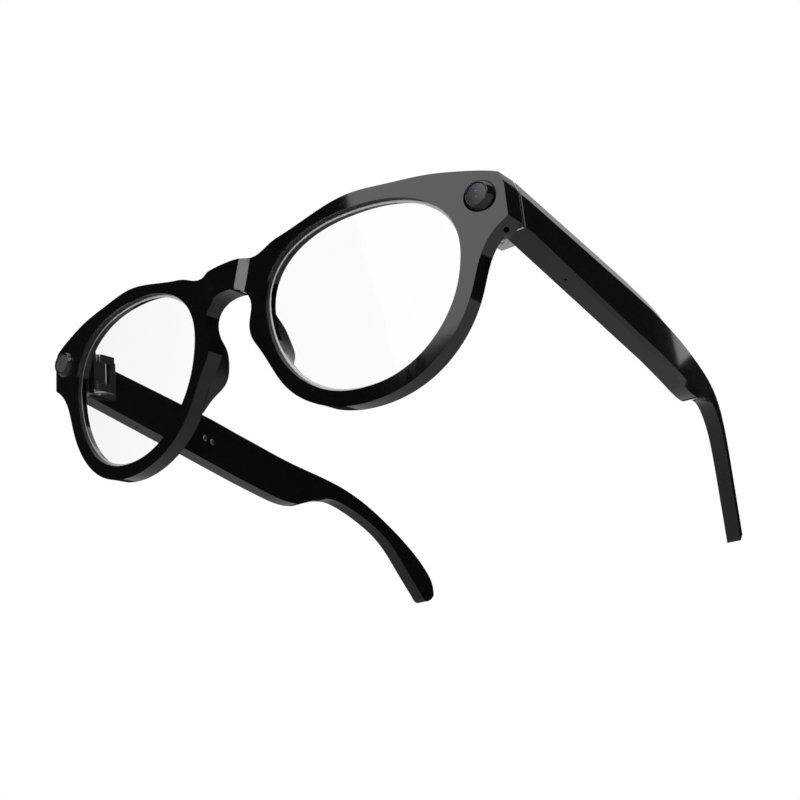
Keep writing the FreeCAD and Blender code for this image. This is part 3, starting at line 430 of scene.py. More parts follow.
def pressed(loops: list[Loop], place: Place, far: float, step: float = 1.6, facet: float = 0.0,
            facet_drop: float = 0.0, block: "Block | None" = None,
            creases: Iterable[tuple[Flat, Flat]] = ()) -> BMesh:
    """A curved slab cut from a sheet: the outline is filled, split into strips, thickened and bent.

    Args:
        loops: the outline and any openings, each a closed loop in the sheet's own plane.
        place: turns a point of the sheet and a depth into a point of the glasses.
        far: how thick the sheet is.
        step: how wide the strips are.
        facet: how wide a sloped facet runs round the near face, or 0.
        facet_drop: how deep that facet is at its outer edge.
        block: a part of the far face that is carried further back, or None.
        creases: a point and a direction across it for each further fold line of the near face.

    Returns:
        The slab. The facet's faces have material index 1.
    """
    bm = bmesh.new()
    for loop in loops:
        corners = [bm.verts.new((u, v, 0)) for u, v in thinned(loop)]
        for a, b in zip(corners, corners[1:] + corners[:1]):
            bm.edges.new((a, b))
    bmesh.ops.triangle_fill(bm, use_beauty=True, use_dissolve=False, edges=bm.edges[:], normal=(0, 0, 1))
    low, high = (pick(v.co.x for v in bm.verts) for pick in (min, max))
    stations = list(np.linspace(low, high, round((high - low) / step) + 1)[1:-1])
    if block:
        ends = [block.beyond, -block.beyond]
        stations = [u for u in stations if all(abs(u - end) > 5 * SNAP for end in ends)] + ends
    folds = [(Vector(point), Vector(across).normalized()) for point, across in creases]
    cuts = [(Vector((u, 0.0)), Vector((1.0, 0.0))) for u in stations] + folds
    for point, across in cuts:
        bmesh.ops.bisect_plane(bm, geom=bm.verts[:] + bm.edges[:] + bm.faces[:], dist=SNAP,
                               plane_co=(*point, 0), plane_no=(*across, 0))

    def lies_on(edge: bmesh.types.BMEdge, which: list[tuple[Vector, Vector]]) -> bool:
        """Whether the edge lies along one of the cuts."""
        return any(all(abs((v.co.xy - point).dot(across)) < 1.05 * SNAP for v in edge.verts)
                   for point, across in which)

    inner = [e for e in bm.edges if len(e.link_faces) == 2 and not lies_on(e, cuts)]
    bmesh.ops.dissolve_edges(bm, edges=inner, use_verts=False)
    spare = [v for v in bm.verts if len(v.link_edges) == 2 and not v.is_boundary]
    bmesh.ops.dissolve_verts(bm, verts=spare)
    if block:
        for sign in (1, -1):
            outer = [f for f in bm.faces if sign * f.calc_center_median().x > block.beyond]
            geom = outer + list({e for f in outer for e in f.edges})
            geom += list({v for f in outer for v in f.verts})
            bmesh.ops.bisect_plane(bm, geom=geom, dist=SNAP, plane_co=(0, block.above, 0),
                                   plane_no=(0, 1, 0))
    rim = {v for v in bm.verts if v.is_boundary}
    if facet:
        ring = bmesh.ops.inset_region(bm, faces=bm.faces[:], thickness=facet, use_even_offset=True,
                                      use_boundary=True)
        for face in ring["faces"]:
            face.material_index = 1
        for edge in bm.edges:
            edge.smooth = len({f.material_index for f in edge.link_faces}) < 2
    for edge in bm.edges:
        if lies_on(edge, folds):
            edge.smooth = False
    sheet = bm.faces[:]
    made = bmesh.ops.extrude_face_region(bm, geom=sheet)["geom"]
    back = {v for v in made if isinstance(v, bmesh.types.BMVert)}
    back_faces = [f for f in made if isinstance(f, bmesh.types.BMFace)]
    if facet:
        for face in bm.faces:
            if face in back_faces or any(v in back for v in face.verts):
                face.material_index = 0
    deep = [f for f in back_faces if block and block.holds(f.calc_center_median())]
    if deep:
        raised = bmesh.ops.extrude_face_region(bm, geom=deep)["geom"]
        pushed = {v for v in raised if isinstance(v, bmesh.types.BMVert)}
        loose = [f for f in deep if f.is_valid and not any(v in pushed for v in f.verts)]
        bmesh.ops.delete(bm, geom=loose, context="FACES_ONLY")
        bmesh.ops.delete(bm, geom=[e for e in bm.edges if not e.link_faces], context="EDGES")
    else:
        pushed = set()
    for v in bm.verts:
        u, w = v.co.x, v.co.y
        if v in pushed:
            v.co = Vector((u, block.back, w))
        elif v in back:
            v.co = place(u, w, far)
        else:
            v.co = place(u, w, facet_drop if v in rim else 0.0)
    bmesh.ops.recalc_face_normals(bm, faces=bm.faces[:])
    return bm


def soften(bm: BMesh, width: float, segments: int = 3, angle: float = CREASE) -> None:
    """Rounds the sharp edges.

    Args:
        bm: the mesh, in millimetres.
        width: how wide each rounding is.
        segments: how many faces a rounding has.
        angle: edges sharper than this count.
    """
    edges = [e for e in bm.edges if len(e.link_faces) == 2 and e.calc_face_angle(0.0) > angle]
    bmesh.ops.bevel(bm, geom=edges, offset=width, offset_type="OFFSET", segments=segments, profile=0.5,
                    affect="EDGES", material=-1, clamp_overlap=True, loop_slide=True)


def mark_sharp(bm: BMesh) -> None:
    """Keeps the shading crisp across every sharp edge."""
    for edge in bm.edges:
        edge.smooth = edge.smooth and edge.calc_face_angle(0.0) < CREASE


def trimmed(bm: BMesh, point: Vector, out: Vector, nearness: float) -> None:
    """Cuts off what lies outside a plane and closes the cut.

    Args:
        bm: the mesh.
        point: a point of the plane.
        out: the plane's outward direction.
        nearness: how near the plane a corner counts as lying on it.
    """
    cut = bmesh.ops.bisect_plane(bm, geom=bm.verts[:] + bm.edges[:] + bm.faces[:], dist=nearness,
                                 plane_co=point, plane_no=out.normalized(), clear_outer=True)
    rim = [e for e in cut["geom_cut"] if isinstance(e, bmesh.types.BMEdge)]
    bmesh.ops.holes_fill(bm, edges=rim, sides=0)


def mesh_object(bm: BMesh, name: str, finishes: Iterable[Finish], flip: bool = False,
                place: Matrix | None = None) -> bpy.types.Object:
    """Turns a bmesh into an object at the origin, with its place in its mesh.

    Args:
        bm: the mesh, which is freed.
        name: the object's name.
        finishes: the finish of each material index.
        flip: whether the piece is mirrored to the other side of the face.
        place: the move into the row frame; the glasses' stance when it is None.

    Returns:
        The object.
    """
    if flip:
        bmesh.ops.scale(bm, vec=(-1, 1, 1), verts=bm.verts[:])
        bmesh.ops.reverse_faces(bm, faces=bm.faces[:])
    bmesh.ops.transform(bm, matrix=STANCE if place is None else place, verts=bm.verts[:])
    for face in bm.faces:
        face.smooth = True
    mark_sharp(bm)
    data = bpy.data.meshes.new(name)
    bm.to_mesh(data)
    bm.free()
    for finish in finishes:
        data.materials.append(WARDROBE.get(finish))
    made = bpy.data.objects.new(name, data)
    bpy.context.scene.collection.objects.link(made)
    weighted = made.modifiers.new("even shading", "WEIGHTED_NORMAL")
    weighted.keep_sharp = True
    return made


def carve(target: bpy.types.Object, cutters: list[bpy.types.Object]) -> None:
    """Cuts the cutters out of the target's mesh and removes them.

    Args:
        target: the object that is cut.
        cutters: closed objects, in the same place as the target.
    """
    for i, cutter in enumerate(cutters):
        cut = target.modifiers.new(f"cut {i}", "BOOLEAN")
        cut.operation = "DIFFERENCE"
        cut.solver = "EXACT"
        cut.object = cutter
        target.modifiers.move(target.modifiers.find(cut.name), i)
    weighted = target.modifiers.get("even shading")
    weighted.show_viewport = False
    depsgraph = bpy.context.evaluated_depsgraph_get()
    cut_mesh = bpy.data.meshes.new_from_object(target.evaluated_get(depsgraph))
    for modifier in [m for m in target.modifiers if m.type == "BOOLEAN"]:
        target.modifiers.remove(modifier)
    weighted.show_viewport = True
    old, target.data = target.data, cut_mesh
    cut_mesh.name = target.name
    bpy.data.meshes.remove(old)
    for cutter in cutters:
        bpy.data.objects.remove(cutter)
    bm = bmesh.new()
    bm.from_mesh(cut_mesh)
    mark_sharp(bm)
    bm.to_mesh(cut_mesh)
    bm.free()


def settle(piece: bpy.types.Object, body: str, slot: Slot, *nodes: str) -> bpy.types.Object:
    """Makes a piece ride on a body and hides the CAD nodes it stands for.

    Args:
        piece: the piece.
        body: the CAD body it moves with.
        slot: its material slot; not used.
        *nodes: the CAD nodes that it replaces.

    Returns:
        The same piece.
    """
    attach(piece, body)
    if nodes:
        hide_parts(*nodes)
    LOG.info("%s rides on %s, %d faces", piece.name, body, len(piece.data.polygons))
    return piece


def turned(profile: list[Flat], x: float, z: float, name: str, finishes: Iterable[Finish],
           flip: bool = False, steps: int = 64, edge: float = 0.0) -> bpy.types.Object:
    """A solid of revolution about a line along Y.

    Args:
        profile: (radius, y) points; a radius of 0 closes the solid on its axis.
        x: the axis's X.
        z: the axis's Z.
        name: the object's name.
        finishes: the finish of each material index.
        flip: whether the piece is mirrored to the other side.
        steps: how many faces go round.
        edge: how much the turned edges are rounded.

    Returns:
        The object.
    """
    bm = bmesh.new()
    points = [bm.verts.new((x + radius, y, z)) for radius, y in profile]
    joined = zip(points, points[1:] + points[:1]) if profile[0][0] else zip(points, points[1:])
    edges = [bm.edges.new(pair) for pair in joined]
    bmesh.ops.spin(bm, geom=points + edges, cent=(x, 0, z), axis=(0, 1, 0), angle=math.tau, steps=steps,
                   use_merge=True)
    bmesh.ops.remove_doubles(bm, verts=bm.verts[:], dist=1e-4)
    bmesh.ops.recalc_face_normals(bm, faces=bm.faces[:])
    if edge:
        soften(bm, edge, 2, angle=math.radians(25))
    return mesh_object(bm, name, finishes, flip)


def finished_copy(node: str, name: str, edge: float, finish: Finish, body: str,
                  segments: int = 2, chamfer: tuple[Vector, Vector] | None = None) -> bpy.types.Object:
    """A metal piece as it leaves finishing: the CAD node's own shape with every edge broken.

    Args:
        node: the CAD node, which the copy replaces.
        name: the new piece's name.
        edge: how wide the broken edges are, in millimetres.
        finish: its finish.
        body: the body it rides on.
        segments: how many faces a broken edge has.
        chamfer: a point and an outward normal, in the glasses' frame, of a plane that trims the piece.

    Returns:
        The new piece.
    """
    bm = bmesh.new()
    bm.from_mesh(frame["nodes"][node].data)
    bmesh.ops.scale(bm, vec=(1 / MM,) * 3, verts=bm.verts[:])
    bmesh.ops.remove_doubles(bm, verts=bm.verts[:], dist=1e-3)
    bmesh.ops.dissolve_limit(bm, angle_limit=math.radians(0.8), use_dissolve_boundaries=False,
                             verts=bm.verts[:], edges=bm.edges[:])
    if chamfer:
        trimmed(bm, STANCE @ chamfer[0] / MM, STANCE.to_3x3() @ chamfer[1], 1e-3)
    soften(bm, edge, segments, angle=math.radians(40))
    return settle(mesh_object(bm, name, [finish], place=Matrix.Scale(MM, 4)), body, finish.slot, node)


# ---------------------------------------------------------------- the front


@dataclass(frozen=True)
class Block:
    """The part of the front behind each endpiece that is carried back to the hinge plate."""

    beyond: float = 62.4  # X where it starts
    above: float = 5.3  # Z where it starts
    back: float = 14.0  # its back face

    def holds(self, spot: Vector) -> bool:
        """Whether a point of the flat sheet is in the block."""
        return abs(spot.x) > self.beyond and spot.y > self.above


@dataclass
class LensShape:
    """The lens outline, a square-shouldered oval that is wider at the top."""

    centre_x: float = 36.0
    drop: float = -0.8
    half_wide: float = 24.4
    half_tall: float = 21.05
    taper: float = 0.161
    roundness: float = 0.904

    def point(self, degrees: float, offset: float = 0.0) -> Flat:
        """A point of the outline.

        Args:
            degrees: its place round the lens, from the outer side through the top.
            offset: how far outside the outline it is, in millimetres.

        Returns:
            X and Z of the point on the left lens.
        """
        def spot(angle: float) -> Vector:
            """The outline itself at an angle."""
            c, s = math.cos(angle), math.sin(angle)
            c, s = (math.copysign(abs(k) ** self.roundness, k) for k in (c, s))
            return Vector((self.half_wide * c * (1 + self.taper * s), self.half_tall * s))

        angle, small = math.radians(degrees), 1e-4
        along = (spot(angle + small) - spot(angle - small)).normalized()
        out = Vector((along.y, -along.x))
        made = spot(angle) + out * offset
        return self.centre_x + made.x, made.y + self.drop

    def loop(self, offset: float = 0.0, count: int = 120) -> Loop:
        """The whole outline as a closed loop."""
        shares = (i / count for i in range(count))
        return [self.point(360 * share + 0.7, offset) for share in shares]


def other_side(loop: Loop) -> Loop:
    """The same loop mirrored across the nose."""
    return [(-u, v) for u, v in loop]


@dataclass
class Front:
    """The front: rims, bridge and endpieces in one moulding, with its lenses, pads and barrels."""

    lens: LensShape
    radius: float = 320.0
    thick: float = 4.4
    rim: float = 3.5
    side: float = 71.75
    top: float = 17.4
    bottom: float = 7.3
    bridge_top: float = 17.9
    arch: float = 10.9
    keyhole: float = 7.3
    chamfer_in: float = 0.82
    chamfer_down: float = 2.7
    bridge_proud: float = 0.9
    bridge_foot: float = 3.1
    bridge_spread: float = 0.314
    bridge_ramp: float = 2.75
    brow_inset: float = 0.07
    edge: float = 0.28
    lens_near: float = 1.5
    lens_thick: float = 1.8
    lens_seat: float = 0.9
    facet: float = 1.6
    facet_drop: float = 0.7
    barrel_x: float = 66.3
    barrel_z: float = 13.3
    barrel_radius: float = 3.55
    barrel_nose_radius: float = 2.75
    barrel_eye: float = 2.48
    barrel_wall: float = 0.5
    barrel_proud: float = 1.45
    barrel_deep: float = 6.0
    barrel_play: float = 0.02
    cover_sunk: float = 0.15
    cover_thick: float = 0.8
    cover_play: float = 0.06
    pad_thick: float = 2.7
    pad_sunk: float = 0.6
    pad_inset: float = 0.12
    pad_round: float = 0.7
    port_x: float = 69.4
    port_y: float = 11.0
    port_radius: float = 0.55

    def surface(self, x: float) -> float:
        """Y of the front surface at X."""
        return self.radius - math.sqrt(self.radius ** 2 - x * x)

    def place(self, u: float, v: float, depth: float) -> Vector:
        """A point of the flat front, bent onto the front surface, with the bridge's raised middle."""
        flat = self.bridge_flat(v)
        raised = 1 - min(max((abs(u) - flat) / self.bridge_ramp, 0.0), 1.0)
        lift = self.bridge_proud * raised if depth <= 0 and v > 0 else 0.0
        return Vector((u, self.surface(u) + depth - lift, v))

    def bridge_flat(self, v: float) -> float:
        """How far from the middle the bridge's raised face reaches at a height; it narrows downward."""
        return self.bridge_foot + (v - self.arch) * self.bridge_spread

    def outline(self) -> Loop:
        """The front's outer outline, seen from the front.

        Returns:
            A closed loop of (x, z) points.
        """
        top, side, hole, arch = self.bridge_top, self.side, self.keyhole, self.arch
        brow = [(0, top), (5, top - 0.3), (9.3, top - 0.8), (14.3, top + 1.1)]
        brow += [self.lens.point(a, self.rim - self.brow_inset) for a in (125, 90, 75)]
        brow += [(side - 15.7, self.top + 4.3), (side - 9, self.top + 2.8), (side - 4.6, self.top + 1.6),
                 (side, self.top)]
        under = [(side, self.bottom), (side - 3.3, self.bottom - 2.4), (side - 6.2, self.bottom - 6.1)]
        under += [self.lens.point(a, self.rim) for a in (-12, -35, -60, -90, -118, -142)]
        under += [(hole + 1.6, -5.7), (hole - 0.7, -1.6), (hole - 0.8, 1.6), (hole, arch - 5.6)]
        under += [(hole - 1.2, arch - 2.2), (hole - 4.2, arch - 0.4), (0, arch)]
        upper = through(other_side(brow)[::-1] + brow[1:], 1.1)
        lower = through(under + other_side(under)[::-1][1:], 1.1)
        right_top = [(side - self.chamfer_in, self.top + 0.18), (side, self.top - self.chamfer_down)]
        left_top = other_side(right_top)[::-1]
        return left_top + upper[2:-2] + right_top + lower[:-1] + [(-side, self.bottom)]

    def build_shell(self) -> bpy.types.Object:
        """The moulding itself, with a pocket for each barrel and the microphone port."""
        hole = self.lens.loop()
        block = Block()
        creases = []
        for reach in (self.bridge_flat(0), self.bridge_flat(0) + self.bridge_ramp):
            creases += [((reach, 0), (1, -self.bridge_spread)), ((-reach, 0), (-1, -self.bridge_spread))]
        bm = pressed([self.outline(), hole, other_side(hole)], self.place, self.thick, block=block,
                     creases=creases)
        soften(bm, self.edge, 3)
        shell = mesh_object(bm, "front_moulding", [GLOSS_BLACK])
        cutters = []
        for side in Side:
            face = self.surface(self.barrel_x)
            reach = self.barrel_radius + 2 * self.barrel_play
            pocket = [(0, face - 4), (reach, face - 4), (reach, face + self.barrel_deep),
                      (0, face + self.barrel_deep)]
            cutters.append(turned(pocket, self.barrel_x, self.barrel_z, f"pocket_{side.word}", [GLOSS_BLACK],
                                  flip=side is Side.RIGHT))
        port = bmesh.new()
        bmesh.ops.create_circle(port, cap_ends=True, segments=40, radius=self.port_radius)
        bmesh.ops.scale(port, vec=(1, 1.81, 1), verts=port.verts[:])
        bmesh.ops.translate(port, vec=(self.port_x, self.port_y, self.bottom - 2), verts=port.verts[:])
        up = bmesh.ops.extrude_face_region(port, geom=port.faces[:])["geom"]
        bmesh.ops.translate(port, vec=(0, 0, 3.2), verts=[v for v in up if isinstance(v, bmesh.types.BMVert)])
        bmesh.ops.recalc_face_normals(port, faces=port.faces[:])
        cutters.append(mesh_object(port, "port_cut", [GLOSS_BLACK]))
        carve(shell, cutters)
        return settle(shell, "front", Slot.SHELL, "front_frame")

    def build_lens(self, side: Side) -> bpy.types.Object:
        """A lens with its ground edge, seated in the rim."""
        bm = pressed([self.lens.loop(self.lens_seat)],
                     lambda u, v, depth: Vector((u, self.surface(u) + self.lens_near + depth, v)),
                     self.lens_thick, step=2.2, facet=self.facet, facet_drop=self.facet_drop)
        lens = mesh_object(bm, f"lens_blank_{side.word}", [CLEAR_LENS, GROUND_EDGE], side is Side.RIGHT)
        return settle(lens, "front", Slot.LENS, f"lens_{side.word}")

    def build_pad(self, side: Side) -> bpy.types.Object:
        """A nose pad: a rounded fin that follows the rim beside the nose, standing behind it."""
        heights = ((160, 0.2), (170, 1.0), (175, 3.0), (180, 4.2), (185, 4.7), (190, 4.7), (195, 3.8),
                   (200, 2.2), (205, 1.0), (211, 0.2))
        per_degree = 0.45  # millimetres along the rim
        crest = through([(angle * per_degree, tall) for angle, tall in heights], 0.8)
        loop = [(crest[0][0], -self.pad_sunk)] + crest + [(crest[-1][0], -self.pad_sunk)]

        def stand(u: float, v: float, depth: float) -> Vector:
            """A point of the fin, wrapped round the rim."""
            x, z = self.lens.point(u / per_degree, self.rim - self.pad_inset - depth)
            return Vector((x, self.surface(x) + self.thick + v, z))

        bm = pressed([loop], stand, self.pad_thick, step=0.9)
        soften(bm, self.pad_round, 4)
        pad = mesh_object(bm, f"nose_rest_{side.word}", [SATIN_BLACK], side is Side.RIGHT)
        return settle(pad, "front", Slot.SHELL, f"nose_pad_{side.word}")

    def build_barrel(self, side: Side) -> None:
        """The stepped ring and its window: the camera on the left, the lamp on the right, and on the camera's
        cover two dots of painted reflection.
        """
        role = "camera" if side is Side.LEFT else "led"
        flip = side is Side.RIGHT
        face = self.surface(self.barrel_x)
        nose, base = face - self.barrel_proud, face + self.barrel_deep - self.barrel_play
        eye, radius = self.barrel_eye, self.barrel_radius - self.barrel_play
        bore = radius - self.barrel_wall
        ring = [(self.barrel_nose_radius, nose), (radius, face - 0.1), (radius, base), (bore, base),
                (bore, face + 0.6), (eye, face + 0.2), (eye, nose)]
        barrel = turned(ring, self.barrel_x, self.barrel_z, f"{role}_ring", [BARREL_BLACK], flip, edge=0.12)
        settle(barrel, "front", Slot.BARREL, f"{role}_barrel")
        front = nose + self.cover_sunk
        back, reach = front + self.cover_thick, eye - self.cover_play
        disc = [(0, front), (reach, front), (reach, back), (0, back)]
        slot, finish = (Slot.DARK_GLASS, COVER_GLASS) if side is Side.LEFT else (Slot.DIFFUSER, DIFFUSER)
        window = turned(disc, self.barrel_x, self.barrel_z, f"{role}_cover", [finish], flip, edge=0.08)
        settle(window, "front", slot, f"{role}_window")
        if side is Side.LEFT:
            # Painted reflections: two pale blue-grey dots on the cover, where the lamps glint in the lens
            # elements beneath it.
            for name, up in (("upper", 0.72), ("lower", -0.62)):
                glint_dome = [(0, front - 0.05), (0.1, front - 0.04), (0.17, front + 0.02), (0, front + 0.05)]
                spot = turned(glint_dome, self.barrel_x - 0.1, self.barrel_z + up, f"lens_element_{name}",
                              [PAINTED_GLINT], flip, steps=24)
                settle(spot, "front", Slot.DARK_GLASS)

    def build(self) -> None:
        """Builds every piece of the front."""
        self.build_shell()
        for side in Side:
            self.build_lens(side)
            self.build_pad(side)
            self.build_barrel(side)


# ---------------------------------------------------------------- the temples


@dataclass
class Temple:
    """A temple: the outer shell that runs on into the ear tip, and the flush cover inside it."""

    side: Side
    front: float = 14.9
    thick: float = 5.0
    top: float = 17.5
    low: float = 6.4
    top_slope: float = 0.178
    low_slope: float = 0.243
    straight: float = 48.0
    body: float = 76.0
    splay: float = 0.02
    tip_inward: float = 15.5
    outer_x: float = 71.75
    edge: float = 0.2
    facet: float = 1.6
    facet_drop: float = 0.8
    facet_lower: float = 1.0
    facet_narrower: float = 0.6
    facet_fade: float = 30.0
    shell_wall: float = 1.2
    cover_thick: float = 1.1
    cavity: tuple[float, float] = (13.0, 81.0)
    cavity_rim: float = 1.5
    seam: float = 0.07
    contact_stations: tuple[float, float] = (45.4, 48.5)
    contact_hole_radius: float = 0.97

    def __post_init__(self) -> None:
        """Works out the side profile's two edges and the plan."""
        bend, end = self.front + self.straight, self.front + self.body
        top_end = self.top - self.top_slope * self.straight
        low_end = self.low - self.low_slope * self.body
        falls = ((0, 0), (20, 4.6), (38, 9.1), (56, 13.7), (65, 17.9), (74, 24.8), (83, 34.0), (89, 42.4),
                 (90.7, 46.5), (90.9, 50.2))
        rises = ((0, 0), (6, 0.9), (11, 0.7), (16, -0.7), (21, -1.9), (26, -2.0), (30, -0.9), (39, 3.8),
                 (45, 8.6), (49, 13.6), (52, 18.7), (55.3, 24.6), (57.8, 28.9))
        turns = ((-16, 0.0), (0, 0.05), (19, 0.16), (37, 0.38), (55, 0.78), (68, 1.1))
        self.top_line = [(self.front, self.top)] + through([(bend + y, top_end - z) for y, z in falls], 1.5)
        self.low_line = [(self.front, self.low)] + through([(end + y, low_end - z) for y, z in rises], 1.5)
        plan = [(end + y, self.outer_x + self.splay * (self.body + min(y, 0)) - share * self.tip_inward)
                for y, share in turns]
        self.plan = np.array([(self.front, self.outer_x)] + through(plan, 1.5))

    def outer(self, y: float) -> float:
        """X of the outer face at Y."""
        return float(np.interp(y, self.plan[:, 0], self.plan[:, 1]))

    def place(self, u: float, v: float, depth: float) -> Vector:
        """A point of the flat side profile, bent onto the plan."""
        return Vector((self.outer(u) - depth, u, v))

    def height(self, y: float, line: Loop) -> float:
        """Z of the top or bottom edge at Y."""
        ys, zs = zip(*line)
        return float(np.interp(y, ys, zs))

    def outline(self) -> Loop:
        """The whole side profile, joint to tip and back."""
        (y0, z0), (y1, z1) = self.top_line[-1], self.low_line[-1]
        nub = through([self.top_line[-2], (y0, z0), (y0 - 3.2, z0 - 2.3), (y1, z1), self.low_line[-2]], 0.9)
        inner = [p for p in nub if p[1] < min(z0, z1) - 0.25]
        ends = [(self.front, self.top), (self.front, self.low)]
        dense_top = through([self.top_line[0], self.top_line[1]], 4.0)[1:-1]
        dense_low = through([self.low_line[0], self.low_line[1]], 4.0)[1:-1]
        return (ends[:1] + dense_top + self.top_line[1:] + inner + self.low_line[1:][::-1]
                + dense_low[::-1] + ends[1:])

    def panel(self, shrink: float) -> Loop:
        """The cover's outline: the body's profile moved inward.

        Args:
            shrink: how far it is inside the temple's own edges, in millimetres.

        Returns:
            A closed loop of (y, z) points.
        """
        first, last = (self.front + c for c in self.cavity)
        grow = self.cavity_rim - shrink
        ys = np.linspace(first - grow, last + grow, 28)
        over = [(float(y), self.height(y, self.top_line) - shrink) for y in ys]
        under = [(float(y), self.height(y, self.low_line) + shrink) for y in ys[::-1]]
        corners = []
        for before, corner, after in ((over[-2], over[-1], under[0]), (over[-1], under[0], under[1]),
                                      (under[-2], under[-1], over[0]), (under[-1], over[0], over[1])):
            corners.append(rounded_corner(before, corner, after, 1.4, 4))
        return over[1:-1] + corners[0] + corners[1] + under[1:-1] + corners[2] + corners[3]

    def slab(self, loop: Loop, near: float, far: float, step: float = 2.0, facet: float = 0.0) -> BMesh:
        """A slab of the temple between two depths below its outer face."""
        return pressed([loop], lambda u, v, depth: self.place(u, v, near + depth), far - near, step=step,
                       facet=facet, facet_drop=self.facet_drop)

    def shift_facet(self, bm: BMesh) -> None:
        """Widens the outer face's facet along the top edge and narrows it along the bottom."""
        rim = {v for e in bm.edges if not e.smooth for v in e.verts}
        for v in rim:
            y, z = v.co.y, v.co.z
            share = min(max((self.front + self.body - y) / self.facet_fade, 0.0), 1.0)
            near_top = abs(self.height(y, self.top_line) - z) < abs(z - self.height(y, self.low_line))
            v.co.z -= share * (self.facet_lower if near_top else self.facet_narrower)
            if y < self.front + 2 * self.facet:
                v.co.y = self.front + 0.3

    def slot_cut(self, name: str, station: float, wide: float, long: float, up: bool) -> bpy.types.Object:
        """A cutter for a rounded opening through the top or bottom edge.

        Args:
            name: the cutter's name.
            station: how far behind the joint it is.
            wide: the opening's size across the temple.
            long: its size along the temple.
            up: whether it opens upward.

        Returns:
            The cutter.
        """
        y = self.front + station
        z = self.height(y, self.top_line if up else self.low_line)
        bm = bmesh.new()
        bmesh.ops.create_cube(bm, size=1.0)
        bmesh.ops.scale(bm, vec=(wide, long, 5.0), verts=bm.verts[:])
        upright = [e for e in bm.edges if abs(e.verts[0].co.z - e.verts[1].co.z) > 1]
        bmesh.ops.bevel(bm, geom=upright, offset=min(wide, long) * 0.49, segments=6, profile=0.5,
                        affect="EDGES", material=-1)
        slope = math.atan(self.top_slope if up else self.low_slope)
        turn = Matrix.Rotation(-slope, 4, "X")
        spot = Vector((self.outer(y) - self.thick / 2, y, z + (1.2 if up else -1.2)))
        bmesh.ops.transform(bm, matrix=Matrix.Translation(spot) @ turn, verts=bm.verts[:])
        return mesh_object(bm, name, [GLOSS_BLACK], self.side is Side.RIGHT)

    def build_shell(self) -> None:
        """The shell, hollow behind the cover, with its speaker outlet and microphone pinhole."""
        flip, word = self.side is Side.RIGHT, self.side.word
        bm = self.slab(self.outline(), 0.0, self.thick, facet=self.facet)
        self.shift_facet(bm)
        soften(bm, self.edge, 3)
        shell = mesh_object(bm, f"temple_{word}", [GLOSS_BLACK, GLOSS_BLACK], flip)
        lid = self.thick - self.cover_thick
        seat = self.slab(self.panel(self.cavity_rim / 2), lid, self.thick + 1.5)
        hollow = self.slab(self.panel(self.cavity_rim), self.shell_wall, lid + 0.3)
        cutters = [mesh_object(seat, f"seat_{word}", [GLOSS_BLACK], flip),
                   mesh_object(hollow, f"hollow_{word}", [GLOSS_BLACK], flip),
                   self.slot_cut(f"outlet_{word}", 75, 1.2, 6.0, True),
                   self.slot_cut(f"pinhole_{word}", 20, 0.8, 0.8, False)]
        carve(shell, cutters)
        settle(shell, f"temple_{word}", Slot.SHELL, f"temple_shell_{word}")

    def contact_hole(self, station: float) -> bpy.types.Object:
        """A cutter for the cover's round opening over one charging contact."""
        y = self.front + station
        z = (self.height(y, self.top_line) + self.height(y, self.low_line)) / 2
        bm = bmesh.new()
        bmesh.ops.create_cone(bm, cap_ends=True, segments=40, radius1=self.contact_hole_radius,
                              radius2=self.contact_hole_radius, depth=6.0)
        spot = Matrix.Translation(Vector((self.outer(y) - self.thick, y, z)))
        bmesh.ops.transform(bm, matrix=spot @ Matrix.Rotation(math.pi / 2, 4, "Y"), verts=bm.verts[:])
        return mesh_object(bm, "contact_hole", [GLOSS_BLACK], True)

    def build_cover(self) -> None:
        """The flush inner cover, a fine seam all round it."""
        lid = self.thick - self.cover_thick
        bm = self.slab(self.panel(self.cavity_rim / 2 + self.seam), lid + 0.05, self.thick)
        soften(bm, 0.09, 2)
        word = self.side.word
        cover = mesh_object(bm, f"inner_cover_{word}", [GLOSS_BLACK], self.side is Side.RIGHT)
        if self.side is Side.RIGHT:
            carve(cover, [self.contact_hole(station) for station in self.contact_stations])
        settle(cover, f"temple_{word}", Slot.SHELL, f"temple_cover_{word}")

    def build(self) -> None:
        """Builds the temple's pieces."""
        self.build_shell()
        self.build_cover()


# ---------------------------------------------------------------- metalwork and inner pieces


@dataclass
class Metalwork:
    """The hinge plates, leaves and screws, and the charging contacts, each with its edges broken."""

    plate_edge: float = 0.1
    leaf_edge: float = 0.12
    screw_edge: float = 0.06
    side_x: float = 71.75
    corner_low: float = 14.7
    corner_down: float = 2.7
    corner_in: float = 0.82

    def build(self) -> None:
        """Builds the metal pieces of both sides."""
        for side in Side:
            word = side.word
            temple = f"temple_{word}"
            corner = (Vector((side.value * self.side_x, 0, self.corner_low)),
                      Vector((side.value * self.corner_down, 0, self.corner_in)))
            rows = (("hinge_plate", "endpiece_plate", self.plate_edge, HINGE_STEEL, "front", corner),
                    ("hinge_leaf", "temple_leaf", self.leaf_edge, HINGE_STEEL, temple, None),
                    ("pivot_screw", "hinge_pin", self.screw_edge, SCREW_STEEL, "front", None),
                    ("plate_screws", "plate_fixings", self.screw_edge, SCREW_STEEL, "front", None),
                    ("leaf_screws", "leaf_fixings", self.screw_edge, SCREW_STEEL, temple, None))
            for node, name, edge, finish, body, chamfer in rows:
                finished_copy(f"{node}_{word}", f"{name}_{word}", edge, finish, body, chamfer=chamfer)
        finished_copy("charging_contacts", "contact_pins", 0.12, CONTACT_NICKEL, "temple_right", 3)


